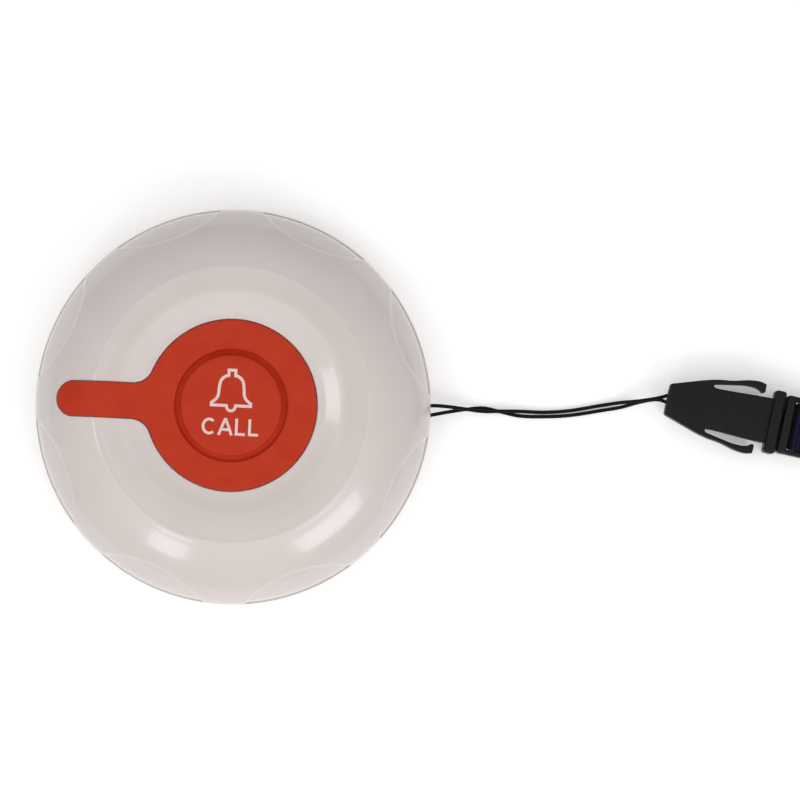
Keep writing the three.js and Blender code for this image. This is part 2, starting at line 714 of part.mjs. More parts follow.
BOARD_SCREW_PLACES.forEach(([x, y], i) => {
  const length = BOARD_SCREW_LENGTH - GAP;
  const shape = screw(BOARD_HEAD_R, BOARD_HEAD_HEIGHT, BOARD_SCREW_R, length);
  const mesh = piece(`board_screw_${i + 1}`, shape.rotateX(Math.PI), steel);
  mesh.position.set(x, y, PART_Z + BOARD_HEAD_HEIGHT);
});

// Buckle: both halves lie flat on the surface, along an axis turned a little from the housing's

const BUCKLE_Z = FLANGE_THICKNESS / 2;
const buckle = new THREE.Group();
buckle.position.set(BUCKLE_X, BUCKLE_Y, BUCKLE_Z);
buckle.rotation.z = radians(BUCKLE_TURN);
object.add(buckle);

// Half outline of the socket and its two spring arms, from the string's end to the flange
const SOCKET_HALF = [
  [0, 2.9], [0.5, 3.4], [8.8, 6], [12.6, 6.6], [16.1, 7.5], [18.2, 7.6], [19.5, 7.3],
  [19.5, 5.6], [19.1, 5.4], [18.4, 5.9], [17.4, 6.2], [15.4, 6.2], [9.9, 5.25], [9.2, 5.1],
  [8.9, 4.8], [9.2, 4.4], [9.9, 4.3], [17.6, 4.6], [FLANGE_START + FLANGE_LENGTH / 2, 4.8],
];
const STRING_TURN_R = POST_R + STRING_R + GAP;

function bevelled(shape, thickness, bevel) {
  const geometry = new THREE.ExtrudeGeometry(shape, {
    depth: thickness - 2 * bevel,
    bevelThickness: bevel,
    bevelSize: bevel,
    bevelOffset: -bevel,
    bevelSegments: 1,
    curveSegments: 8,
  });
  return geometry.translate(0, 0, -thickness / 2 + bevel);
}

function rectangle(us, vs) {
  const shape = new THREE.Shape();
  shape.moveTo(us[0], vs[0]);
  shape.lineTo(us[1], vs[0]);
  shape.lineTo(us[1], vs[1]);
  shape.lineTo(us[0], vs[1]);
  shape.closePath();
  return shape;
}

function buckleSocket() {
  const upper = SOCKET_HALF.map(([u, v]) => point(u, v));
  const lower = SOCKET_HALF.map(([u, v]) => point(u, -v)).reverse();
  let socket = solid(bevelled(new THREE.Shape([...upper, ...lower]), SOCKET_THICKNESS, SOCKET_BEVEL));
  const flangeUs = [FLANGE_START, FLANGE_START + FLANGE_LENGTH];
  const flangeVs = [-FLANGE_WIDTH / 2, FLANGE_WIDTH / 2];
  const flange = bevelled(rectangle(flangeUs, flangeVs), FLANGE_THICKNESS, FLANGE_BEVEL);
  socket = socket.add(solid(flange));
  const cavityV = [-CAVITY_WIDTH / 2, CAVITY_WIDTH / 2];
  const cavityZ = [-CAVITY_HEIGHT / 2, CAVITY_HEIGHT / 2];
  socket = socket.subtract(solid(block([CAVITY_START, flangeUs[1] + 1], cavityV, cavityZ)));
  const slotHalf = STRING_TURN_R + STRING_R + GAP;
  const slotZ = [-STRING_SLOT_HEIGHT / 2, STRING_SLOT_HEIGHT / 2];
  const slotUs = [-1, STRING_BAR_U + slotHalf];
  socket = socket.subtract(solid(block(slotUs, [-slotHalf, slotHalf], slotZ)));
  const bar = rod(POST_R, 1.5 * slotZ[0], 1.5 * slotZ[1], STRING_BAR_U, 0, 12);
  return surface(socket.add(solid(bar)));
}

const PLUG_START = FLANGE_START + FLANGE_LENGTH + GAP;
const PLATE_END = PLUG_START + PLATE_LENGTH;
const BAR_START = PLATE_END + WEB_WINDOW;
const PLUG_END = BAR_START + BAR_LENGTH;

function bucklePlug() {
  const half = PLUG_WIDTH / 2;
  const plate = bevelled(rectangle([PLUG_START, PLATE_END], [-half, half]), PLUG_THICKNESS, 0.5);
  const prongReach = CAVITY_HEIGHT / 2 - GAP;
  const prongZ = [-prongReach, prongReach];
  const into = [PLUG_START - PRONG_LENGTH, PLUG_START + PLATE_LENGTH / 2];
  const pieces = [solid(plate)];
  pieces.push(solid(block(into, [-TONGUE_WIDTH / 2, TONGUE_WIDTH / 2], prongZ)));
  const railZ = [-BAR_THICKNESS, BAR_THICKNESS];
  for (const side of [-1, 1]) {
    const prongMiddle = side * (CAVITY_WIDTH / 2 - GAP - PRONG_WIDTH / 2);
    const prongV = [prongMiddle - PRONG_WIDTH / 2, prongMiddle + PRONG_WIDTH / 2];
    pieces.push(solid(block(into, prongV, prongZ)));
    const railMiddle = side * (half - RAIL_WIDTH / 2);
    const railV = [railMiddle - RAIL_WIDTH / 2, railMiddle + RAIL_WIDTH / 2];
    pieces.push(solid(block([PLUG_START + PLATE_LENGTH / 2, PLUG_END], railV, railZ)));
  }
  const barV = [-half + RAIL_WIDTH / 2, half - RAIL_WIDTH / 2];
  pieces.push(solid(block([BAR_START, PLUG_END], barV, [-BAR_THICKNESS / 2, BAR_THICKNESS / 2])));
  return surface(pieces.reduce((whole, part) => whole.add(part)));
}

// Sewn end of the tape: it wraps the bar, and both plies are stitched together behind it.
const WRAP_INNER = BAR_THICKNESS / 2 + GAP;
const WRAP_OUTER = WRAP_INNER + STRAP_THICKNESS;
const WRAP_START = BAR_START - GAP - STRAP_THICKNESS;
const CLOSE_U = PLUG_END + GAP;
const MEET_U = CLOSE_U + 2.5;
const SEWN_END = MEET_U + SEWN_LENGTH;

function strapEnd() {
  const corner = STRAP_THICKNESS / 2;
  const outer = [
    [WRAP_START, WRAP_OUTER - corner], [WRAP_START + corner, WRAP_OUTER], [CLOSE_U, WRAP_OUTER],
    [MEET_U, STRAP_THICKNESS], [SEWN_END, STRAP_THICKNESS],
  ];
  const inner = [[BAR_START - GAP, WRAP_INNER], [CLOSE_U, WRAP_INNER], [MEET_U, 0]];
  const mirrored = (list) => list.map(([u, z]) => [u, -z]).reverse();
  const shape = new THREE.Shape([...outer, ...mirrored(outer)].map(([u, z]) => point(u, z)));
  const hole = [...inner, ...mirrored(inner).slice(1)].map(([u, z]) => point(u, z));
  shape.holes.push(new THREE.Path(hole.reverse()));
  return prism(shape, -STRAP_WIDTH / 2, STRAP_WIDTH / 2).rotateX(Math.PI / 2);
}

// The free run: both plies together, turning from flat to standing on edge before the coil.
const LEAD_START = SEWN_END + GAP;
const LEAD_SIDE = COIL_MIDDLE_R - STRAP_THICKNESS - GAP;
const LEAD_END = COIL_TANGENT_U - Math.sqrt(COIL_OUTER_R ** 2 - LEAD_SIDE ** 2) - GAP;
const EDGE_Z = STRAP_WIDTH / 2 - BUCKLE_Z; // of a tape on edge, from the axis

function strapLead() {
  const half = STRAP_WIDTH / 2;
  const section = rectangle([-half, half], [-STRAP_THICKNESS, STRAP_THICKNESS]);
  const length = LEAD_END - LEAD_START;
  const options = { depth: length, steps: 12, bevelEnabled: false };
  const tape = new THREE.ExtrudeGeometry(section, options);
  const position = tape.attributes.position;
  for (let i = 0; i < position.count; i++) {
    const along = position.getZ(i);
    const share = THREE.MathUtils.smoothstep(along, 0, length);
    const angle = (share * Math.PI) / 2;
    const v = position.getX(i) * Math.cos(angle) - position.getY(i) * Math.sin(angle);
    const z = position.getX(i) * Math.sin(angle) + position.getY(i) * Math.cos(angle);
    const reach = half * Math.sin(angle) + STRAP_THICKNESS * Math.cos(angle);
    const lift = Math.max(reach - BUCKLE_Z, 0);
    position.setXYZ(i, LEAD_START + along, v, z + lift);
  }
  return tape;
}

function strapCoil() {
  const high = EDGE_Z + STRAP_WIDTH / 2;
  const low = EDGE_Z - STRAP_WIDTH / 2;
  const soft = STRAP_THICKNESS / 2;
  return ring([
    point(COIL_INNER_R, low),
    point(COIL_OUTER_R, low),
    point(COIL_OUTER_R, high - soft),
    point(COIL_OUTER_R - soft, high),
    point(COIL_INNER_R + soft, high),
    point(COIL_INNER_R, high - soft),
  ]).translate(COIL_TANGENT_U, COIL_MIDDLE_R, 0);
}

piece("buckle_socket", buckleSocket(), blackPlastic, buckle);
piece("buckle_plug", bucklePlug(), blackPlastic, buckle);
piece("strap_end", strapEnd(), navyTape, buckle);
piece("strap_lead", strapLead(), navyTape, buckle);
piece("strap_coil", strapCoil(), navyTape, buckle);

// Lanyard string: one thin loop from the post in the housing, round the buckle's bar and back.
// Each row is the pair's middle (x, y), half the space between its strands, and their heights.
const STRING_ROWS = [
  [41.4, 1.3, 0.95, 3.9, 3.9],
  [44.6, 1.65, 0.55, 3.1, 2.7],
  [48.4, 1.87, 0, 2.3, 1.2],
  [52, 1.95, -0.35, 1.3, 0.5],
  [55.6, 1.75, 0.05, 1.4, 0.5],
  [59.5, 1.5, 0.46, 0.9, 0.5],
  [64.6, 1.55, 0.45, 0.5, 0.5],
  [70, 2.1, 0.48, 0.5, 0.5],
  [76.3, 3.4, 0.52, 0.5, 0.5],
  [80.5, 4.25, 0.48, 1, 0.8],
  [84.4, 5.1, 0.12, 3, 2.1],
  [88.2, 5.8, 0.16, 4.1, 3.25],
  [90.3, 5.8, 0.8, 3.85, 3.55],
];

function lanyardString() {
  const out = [];
  const back = [];
  STRING_ROWS.forEach(([x, y, spread, outZ, backZ], i) => {
    const before = STRING_ROWS[Math.max(i - 1, 0)];
    const after = STRING_ROWS[Math.min(i + 1, STRING_ROWS.length - 1)];
    const across = point(before[1] - after[1], after[0] - before[0]).normalize();
    out.push(new THREE.Vector3(x + spread * across.x, y + spread * across.y, outZ));
    back.unshift(new THREE.Vector3(x - spread * across.x, y - spread * across.y, backZ));
  });
  const turn = radians(BUCKLE_TURN);
  const barX = BUCKLE_X + STRING_BAR_U * Math.cos(turn);
  const barY = BUCKLE_Y + STRING_BAR_U * Math.sin(turn);
  const round = (x, y, z, angles) => angles.map((angle) => new THREE.Vector3(
    x + STRING_TURN_R * Math.cos(angle), y + STRING_TURN_R * Math.sin(angle), z));
  const barAngles = [90, 45, 0, -45, -90].map((angle) => radians(angle) + turn);
  const startAngles = [170, 130, 90].map(radians);
  const endAngles = [-90, -130, -170].map(radians);
  const route = [
    ...round(POST_X, 0, STRING_Z, startAngles),
    ...out,
    ...round(barX, barY, BUCKLE_Z, barAngles),
    ...back,
    ...round(POST_X, 0, STRING_Z, endAngles),
  ];
  return wire(new THREE.CatmullRomCurve3(route), STRING_R, 80, 8);
}

piece("lanyard_string", lanyardString(), blackCord);

export default object;
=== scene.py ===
import json
import math

import bmesh
import bpy
from mathutils import Matrix, Vector


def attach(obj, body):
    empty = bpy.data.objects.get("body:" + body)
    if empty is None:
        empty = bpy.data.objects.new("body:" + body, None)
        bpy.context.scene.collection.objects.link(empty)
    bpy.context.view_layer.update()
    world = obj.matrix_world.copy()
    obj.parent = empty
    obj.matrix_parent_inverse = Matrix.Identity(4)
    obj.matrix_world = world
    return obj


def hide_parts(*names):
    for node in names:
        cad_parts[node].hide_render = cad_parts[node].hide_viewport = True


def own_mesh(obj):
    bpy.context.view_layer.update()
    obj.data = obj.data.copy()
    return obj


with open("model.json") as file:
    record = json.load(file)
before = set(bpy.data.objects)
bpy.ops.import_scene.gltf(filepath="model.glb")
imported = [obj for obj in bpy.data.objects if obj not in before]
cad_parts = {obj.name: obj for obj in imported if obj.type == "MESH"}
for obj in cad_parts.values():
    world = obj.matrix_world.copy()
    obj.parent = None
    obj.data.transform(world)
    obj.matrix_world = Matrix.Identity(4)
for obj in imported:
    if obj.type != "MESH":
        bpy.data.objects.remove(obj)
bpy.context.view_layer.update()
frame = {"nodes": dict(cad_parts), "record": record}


# Camera. The button is seen from almost straight above, from about a metre away, and lies a
# little turned in the picture. The slight tilt shows the higher parts shifted away from the viewer.
VIEW_WIDTH = 0.1659
CAMERA_DISTANCE = 0.95
CAMERA_TURN = math.radians(2.6)
CAMERA_TILT = math.radians(1.8)
VIEW_MIDDLE = Vector((0.0345, 0.0030, 0.0075))

lens = bpy.data.cameras.new("camera")
lens.sensor_width = 36
lens.lens = lens.sensor_width * CAMERA_DISTANCE / VIEW_WIDTH
camera = bpy.data.objects.new("camera", lens)
bpy.context.collection.objects.link(camera)
camera.rotation_euler = (CAMERA_TILT, 0, CAMERA_TURN)
camera.location = VIEW_MIDDLE + camera.rotation_euler.to_matrix() @ Vector((0, 0, CAMERA_DISTANCE))
bpy.context.scene.camera = camera
bpy.context.scene.view_settings.view_transform = "Standard"


# Lanyard string. A thin black braided string, one loop: it starts behind the post inside the
# housing, runs out through the window in the base, round the bar in the buckle and back again.
STRING_R = 0.0004
STRING_SIDES = 10
STRING_PLAY = 0.0003
POST_R = 0.0008
TURN_R = POST_R + STRING_R + STRING_PLAY
POST_PLACE = Vector((0.0344, 0, 0.0039))
BUCKLE_PLACE = Vector((0.090, 0.0058, 0.0037))
BUCKLE_TURN = math.radians(-9.6)
STRING_BAR_U = 0.0024
# Each row: the pair's middle (x, y), half the space between its strands, and their heights
STRING_ROWS = [
    (0.0414, 0.00130, 0.00095, 0.0039, 0.0039),
    (0.0446, 0.00165, 0.00055, 0.0031, 0.0027),
    (0.0484, 0.00187, 0.00000, 0.0023, 0.0012),
    (0.0520, 0.00195, -0.00035, 0.0013, 0.0005),
    (0.0556, 0.00175, 0.00005, 0.0014, 0.0005),
    (0.0595, 0.00150, 0.00046, 0.0009, 0.0005),
    (0.0646, 0.00155, 0.00045, 0.0005, 0.0005),
    (0.0700, 0.00210, 0.00048, 0.0005, 0.0005),
    (0.0763, 0.00340, 0.00052, 0.0005, 0.0005),
    (0.0805, 0.00425, 0.00048, 0.0010, 0.0008),
    (0.0844, 0.00510, 0.00012, 0.0030, 0.0021),
    (0.0882, 0.00580, 0.00016, 0.0041, 0.00325),
    (0.0903, 0.00580, 0.00080, 0.00385, 0.00355),
]


def on_buckle(u, v, z):
    """A point along, across and above the buckle's axis, in the frame."""
    return BUCKLE_PLACE + Matrix.Rotation(BUCKLE_TURN, 3, "Z") @ Vector((u, v, z))


def smooth_route(points, step):
    """Evenly close points on a centripetal spline through the given ones."""
    ends = [2 * points[0] - points[1], *points, 2 * points[-1] - points[-2]]
    route = []
    for p0, p1, p2, p3 in zip(ends, ends[1:], ends[2:], ends[3:]):
        t0 = 0.0
        t1 = t0 + math.sqrt((p1 - p0).length)
        t2 = t1 + math.sqrt((p2 - p1).length)
        t3 = t2 + math.sqrt((p3 - p2).length)
        count = max(1, round((p2 - p1).length / step))
        for i in range(count):
            t = t1 + (t2 - t1) * i / count
            a1 = p0.lerp(p1, (t - t0) / (t1 - t0))
            a2 = p1.lerp(p2, (t - t1) / (t2 - t1))
            a3 = p2.lerp(p3, (t - t2) / (t3 - t2))
            b1 = a1.lerp(a2, (t - t0) / (t2 - t0))
            b2 = a2.lerp(a3, (t - t1) / (t3 - t1))
            route.append(b1.lerp(b2, (t - t1) / (t2 - t1)))
    route.append(points[-1].copy())
    return route


def string_route():
    """The loop's points: round the post, out, round the buckle's bar, back and round the post."""
    out, back = [], []
    for i, (x, y, spread, out_z, back_z) in enumerate(STRING_ROWS):
        before = STRING_ROWS[max(i - 1, 0)]
        after = STRING_ROWS[min(i + 1, len(STRING_ROWS) - 1)]
        across = Vector((before[1] - after[1], after[0] - before[0])).normalized() * spread
        out.append(Vector((x + across.x, y + across.y, out_z)))
        back.insert(0, Vector((x - across.x, y - across.y, back_z)))

    def around(middle, turn, degrees):
        angles = [math.radians(angle) + turn for angle in degrees]
        return [middle + TURN_R * Vector((math.cos(a), math.sin(a), 0)) for a in angles]

    return [
        *around(POST_PLACE, 0, (170, 130, 90)),
        *out,
        *around(on_buckle(STRING_BAR_U, 0, 0), BUCKLE_TURN, (90, 45, 0, -45, -90)),
        *back,
        *around(POST_PLACE, 0, (-90, -130, -170)),
    ]


def piece_of(name, bm):
    """A new piece from a finished bmesh, which is used up."""
    mesh = bpy.data.meshes.new(name)
    bm.to_mesh(mesh)
    bm.free()
    piece = bpy.data.objects.new(name, mesh)
    bpy.context.collection.objects.link(piece)
    return piece


def sweep(name, route, widths, section):
    """A mesh of this section along the route. widths gives the section's first direction at each
    point, and the map's u runs round the section and its v along the route, in metres."""
    bm = bmesh.new()
    uv = bm.loops.layers.uv.new("along")
    around = [0.0]
    for here, after in zip(section, section[1:] + section[:1]):
        around.append(around[-1] + math.dist(here, after))
    travelled = 0.0
    previous = None
    for i, (place, width) in enumerate(zip(route, widths)):
        heading = (route[min(i + 1, len(route) - 1)] - route[max(i - 1, 0)]).normalized()
        side = (width - width.dot(heading) * heading).normalized()
        up = heading.cross(side)
        ring = [bm.verts.new(place + a * side + b * up) for a, b in section]
        if previous:
            before = travelled
            travelled += (place - route[i - 1]).length
            for k in range(len(section)):
                n = (k + 1) % len(section)
                face = bm.faces.new((previous[k], previous[n], ring[n], ring[k]))
                corners = ((around[k], before), (around[k + 1], before),
                           (around[k + 1], travelled), (around[k], travelled))
                for loop, corner in zip(face.loops, corners):
                    loop[uv].uv = corner
        else:
            bm.faces.new(list(reversed(ring)))
        previous = ring
    bm.faces.new(previous)
    bmesh.ops.recalc_face_normals(bm, faces=bm.faces)
    return piece_of(name, bm)


def smooth(piece, sharp_from):
    """Shades a piece smooth, with its edges sharp from this angle on."""
    piece.data.shade_smooth()
    piece.data.set_sharp_from_angle(angle=math.radians(sharp_from))


def moulded_surface():
    """Node group: a fine grain height and a broad mottle, both from 0 to 1."""
    group = bpy.data.node_groups.new("moulded_surface", "ShaderNodeTree")
    sockets = group.interface
    sockets.new_socket("Vector", in_out="INPUT", socket_type="NodeSocketVector")
    sockets.new_socket("Grain Scale", in_out="INPUT", socket_type="NodeSocketFloat")
    sockets.new_socket("Mottle Scale", in_out="INPUT", socket_type="NodeSocketFloat")
    sockets.new_socket("Grain", in_out="OUTPUT", socket_type="NodeSocketFloat")
    sockets.new_socket("Mottle", in_out="OUTPUT", socket_type="NodeSocketFloat")
    start = group.nodes.new("NodeGroupInput")
    end = group.nodes.new("NodeGroupOutput")
    for scale, output, detail in (("Grain Scale", "Grain", 2), ("Mottle Scale", "Mottle", 4)):
        noise = group.nodes.new("ShaderNodeTexNoise")
        noise.inputs["Detail"].default_value = detail
        group.links.new(start.outputs["Vector"], noise.inputs["Vector"])
        group.links.new(start.outputs[scale], noise.inputs["Scale"])
        spread = group.nodes.new("ShaderNodeMapRange")
        spread.inputs["From Min"].default_value = 0.3
        spread.inputs["From Max"].default_value = 0.7
        group.links.new(noise.outputs["Fac"], spread.inputs["Value"])
        group.links.new(spread.outputs["Result"], end.inputs[output])
    return group


def surface_material(name, light, dark, roughness, grain, mottle, **constants):
    """A material whose colour and roughness go between two values with the mottle, and whose
    grain is a bump. grain is (size, height) and mottle a size, both in metres."""
    material = bpy.data.materials.new(name)
    material.use_nodes = True
    nodes, links = material.node_tree.nodes, material.node_tree.links
    shader = nodes["Principled BSDF"]
    for socket, value in constants.items():
        shader.inputs[socket.replace("_", " ")].default_value = value
    place = nodes.new("ShaderNodeTexCoord")
    surface = nodes.new("ShaderNodeGroup")
    surface.node_tree = MOULDED
    surface.inputs["Grain Scale"].default_value = 1 / grain[0]
    surface.inputs["Mottle Scale"].default_value = 1 / mottle
    links.new(place.outputs["Object"], surface.inputs["Vector"])
    colour = nodes.new("ShaderNodeMix")
    colour.data_type = "RGBA"
    colour.inputs["A"].default_value = (*dark, 1)
    colour.inputs["B"].default_value = (*light, 1)
    links.new(surface.outputs["Mottle"], colour.inputs["Factor"])
    links.new(colour.outputs["Result"], shader.inputs["Base Color"])
    rough = nodes.new("ShaderNodeMapRange")
    rough.inputs["To Min"].default_value = roughness[0]
    rough.inputs["To Max"].default_value = roughness[1]
    links.new(surface.outputs["Mottle"], rough.inputs["Value"])
    links.new(rough.outputs["Result"], shader.inputs["Roughness"])
    bump = nodes.new("ShaderNodeBump")
    bump.inputs["Strength"].default_value = 1
    bump.inputs["Distance"].default_value = grain[1]
    links.new(surface.outputs["Grain"], bump.inputs["Height"])
    links.new(bump.outputs["Normal"], shader.inputs["Normal"])
    return material


def math_node(tree, operation, *inputs):
    """The output of a math node whose inputs are numbers or other nodes' outputs."""
    node = tree.nodes.new("ShaderNodeMath")
    node.operation = operation
    for socket, value in zip(node.inputs, inputs):
        if isinstance(value, bpy.types.NodeSocket):
            tree.links.new(value, socket)
        else:
            socket.default_value = value
    return node.outputs["Value"]


def thread_material(name, light, dark, pitch, height, lean):
    """Braid or weave on a swept piece: leaning ridges this far apart, on its own map. Its colour is darkest
    between the ridges and lightest on them, which is painted shade in the grooves.
    """
    material = surface_material(name, light, dark, (0.8, 0.95), (0.0001, height), 0.0008,
                                Sheen_Weight=0.06, Sheen_Roughness=0.5, Specular_IOR_Level=0.2)
    tree = material.node_tree
    uv = tree.nodes.new("ShaderNodeUVMap")
    uv.uv_map = "along"
    parts = tree.nodes.new("ShaderNodeSeparateXYZ")
    tree.links.new(uv.outputs["UV"], parts.inputs["Vector"])
    waves = []
    for direction in (1, -1):
        leaning = math_node(tree, "MULTIPLY_ADD", parts.outputs["X"], lean * direction, parts.outputs["Y"])
        scaled = math_node(tree, "MULTIPLY", leaning, math.tau / pitch)
        waves.append(math_node(tree, "SINE", scaled))
    ridges = math_node(tree, "MAXIMUM", *waves)
    bump = next(node for node in tree.nodes if node.type == "BUMP")
    tree.links.new(ridges, bump.inputs["Height"])
    # Painted shade: the colour follows the ridges' height, dark in the grooves between them and light on
    # their crests.
    colour = next(node for node in tree.nodes if node.type == "MIX")
    tree.links.new(ridges, colour.inputs["Factor"])
    return material


MOULDED = moulded_surface()
string_line = smooth_route(string_route(), STRING_R)
string_section = [(STRING_R * math.cos(turn), STRING_R * math.sin(turn))
                  for turn in (math.tau * k / STRING_SIDES for k in range(STRING_SIDES))]
string = sweep("string", string_line, [Vector((0, 0, 1))] * len(string_line), string_section)
smooth(string, 80)
# The braid's darker colour is painted shade in the grooves between its ridges.
string.data.materials.append(
    thread_material("black_braid", (0.009, 0.009, 0.010), (0.002, 0.002, 0.0025), 0.0005, 0.00006, 0.6))
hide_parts("lanyard_string")
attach(string, "housing")


# Neck strap. Navy woven tape 9.8 mm wide, 0.9 m in one length: both ends are sewn round the
# buckle's bar, the two plies run out together, turn on edge and lie wound in a flat coil.
TAPE_WIDTH = 0.0098
TAPE_THICKNESS = 0.0013
BAR_START = 0.0282
PLUG_END = 0.0300
BAR_HALF = 0.0013
SEAT = 0.0003
PLY_HALF = TAPE_THICKNESS / 2
EDGE_SOFT = 0.45 * PLY_HALF
WRAP_CORNER_R = 0.9 * PLY_HALF
WRAP_GAP_HALF = 0.00015
WRAP_Z = BAR_HALF + SEAT + PLY_HALF
WRAP_U = BAR_START - SEAT - PLY_HALF
CLOSE_U = PLUG_END + SEAT
CLOSING_LENGTH = 0.0025
MEET_U = CLOSE_U + CLOSING_LENGTH
SEWN_LENGTH = 0.009
SEWN_END = MEET_U + SEWN_LENGTH
TWIST_END = 0.0637
COIL_U = 0.085
COIL_V = 0.047
COIL_PITCH = 0.008
COIL_TURNS = 1.51
LEG_SPREAD = 0.002
LEG_PARTING_TURN = 0.12
EDGE_LIFT = TAPE_WIDTH / 2 - BUCKLE_PLACE.z


def eased(share):
    """A soft step from 0 to 1."""
    share = min(max(share, 0.0), 1.0)
    return share * share * (3 - 2 * share)


def quarter_turn(steps, first=1):
    """Angles that divide a quarter turn evenly, from this step on."""
    return [k / steps * math.pi / 2 for k in range(first, steps + 1)]


def strap_leg(side):
    """Stations of one ply from the bar to the coil's inner end: places and width directions."""
    stations = []
    offset = side * PLY_HALF

    def add(u, v, z, angle):
        across = on_buckle(0, math.cos(angle), math.sin(angle)) - on_buckle(0, 0, 0)
        stations.append((on_buckle(u, v, z), across))

    add(WRAP_U, 0, side * WRAP_GAP_HALF, 0)
    add(WRAP_U, 0, side * (WRAP_Z - WRAP_CORNER_R), 0)
    for angle in quarter_turn(3):
        add(WRAP_U + WRAP_CORNER_R * (1 - math.cos(angle)), 0,
            side * (WRAP_Z - WRAP_CORNER_R * (1 - math.sin(angle))), 0)
    add(CLOSE_U, 0, side * WRAP_Z, 0)
    closing_steps = 5
    for k in range(1, closing_steps + 1):
        share = k / closing_steps
        add(CLOSE_U + CLOSING_LENGTH * share, 0, side * (WRAP_Z + (PLY_HALF - WRAP_Z) * eased(share)), 0)
    add(SEWN_END, 0, offset, 0)
    twist_steps = 24
    for k in range(1, twist_steps + 1):
        share = k / twist_steps
        angle = eased(share) * math.pi / 2
        reach = TAPE_WIDTH / 2 * math.sin(angle) + TAPE_THICKNESS * math.cos(angle)
        lift = max(reach - BUCKLE_PLACE.z, 0)
        add(SEWN_END + (TWIST_END - SEWN_END) * share, -offset * math.sin(angle),
            offset * math.cos(angle) + lift, angle)
    straight_steps = 8
    for k in range(1, straight_steps):
        add(TWIST_END + (COIL_U - TWIST_END) * k / straight_steps, -offset, EDGE_LIFT, math.pi / 2)
    coil_steps = 150
    for k in range(coil_steps + 1):
        turn = COIL_TURNS * k / coil_steps
        spread = offset + (side * LEG_SPREAD - offset) * eased(turn / LEG_PARTING_TURN)
        radius = COIL_V + spread - COIL_PITCH * turn
        angle = math.tau * turn
        add(COIL_U + radius * math.sin(angle), COIL_V - radius * math.cos(angle),
            EDGE_LIFT, math.pi / 2)
    return stations


def strap_fold():
    """Stations of the bend where the two plies are one, at the coil's inner end."""
    angle = math.tau * COIL_TURNS
    radius = COIL_V - COIL_PITCH * COIL_TURNS
    stations = []
    fold_steps = 8
    for k in range(1, fold_steps):
        bend = math.pi / 2 - k / fold_steps * math.pi
        out = radius + LEG_SPREAD * math.sin(bend)
        ahead = LEG_SPREAD * math.cos(bend)
        u = COIL_U + out * math.sin(angle) + ahead * math.cos(angle)
        v = COIL_V - out * math.cos(angle) + ahead * math.sin(angle)
        stations.append((on_buckle(u, v, EDGE_LIFT), Vector((0, 0, 1))))
    return stations


strap_stations = strap_leg(1) + strap_fold() + strap_leg(-1)[::-1]
half_width = TAPE_WIDTH / 2
tape_top = [(half_width, PLY_HALF - EDGE_SOFT), (half_width - EDGE_SOFT, PLY_HALF),
            (half_width / 2, PLY_HALF), (0, PLY_HALF), (-half_width / 2, PLY_HALF),
            (EDGE_SOFT - half_width, PLY_HALF), (-half_width, PLY_HALF - EDGE_SOFT)]
tape_section = tape_top + [(a, -b) for a, b in reversed(tape_top)]
strap_line = [place for place, _ in strap_stations]
strap = sweep("strap", strap_line, [width for _, width in strap_stations], tape_section)
smooth(strap, 50)
# The weave's darker navy is painted shade in the grooves between its ridges.
strap.data.materials.append(
    thread_material("navy_weave", (0.006, 0.007, 0.055), (0.001, 0.001, 0.012), 0.0007, 0.00012, 0.0))
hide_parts("strap_end", "strap_lead", "strap_coil")
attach(strap, "strap")


# Stitching. Navy thread in a box of short stitches with a cross, through both plies behind the
# bar, seen on the upper and the lower face.
STITCH_LENGTH = 0.0011
STITCH_PITCH = 1.5 * STITCH_LENGTH
STITCH_R = 0.00016
STITCH_PROUD = 0.2 * STITCH_R
SEAM_START = MEET_U + 0.0008
SEAM_END = SEWN_END - 0.0006
SEAM_HALF = TAPE_WIDTH / 2 - 0.0012


def stitches():
    """Short round stitches along the seam's four sides and its two diagonals, on both faces."""
    corners = [(SEAM_START, -SEAM_HALF), (SEAM_END, -SEAM_HALF),
               (SEAM_END, SEAM_HALF), (SEAM_START, SEAM_HALF)]
    lines = list(zip(corners, corners[1:] + corners[:1]))
    lines += [(corners[0], corners[2]), (corners[1], corners[3])]
    bm = bmesh.new()
    for (u0, v0), (u1, v1) in lines:
        length = math.hypot(u1 - u0, v1 - v0)
        count = max(1, round(length / STITCH_PITCH))
        for face in (-1, 1):
            for k in range(count):
                share = (k + 0.5) / count
                middle = on_buckle(u0 + (u1 - u0) * share, v0 + (v1 - v0) * share,
                                   face * (TAPE_THICKNESS + STITCH_PROUD))
                turn = Matrix.Rotation(BUCKLE_TURN + math.atan2(v1 - v0, u1 - u0), 4, "Z")
                flat = Matrix.Diagonal((STITCH_LENGTH / 2, STITCH_R, STITCH_R, 1))
                bmesh.ops.create_icosphere(bm, subdivisions=2, radius=1,
                                           matrix=Matrix.Translation(middle) @ turn @ flat)
    return piece_of("strap_stitches", bm)


strap_stitches = stitches()
smooth(strap_stitches, 80)
strap_stitches.data.materials.append(surface_material(
    "navy_thread", (0.01, 0.012, 0.08), (0.004, 0.005, 0.03), (0.6, 0.8), (0.0001, 0.00002), 0.001,
    Specular_IOR_Level=0.2))
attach(strap_stitches, "strap")


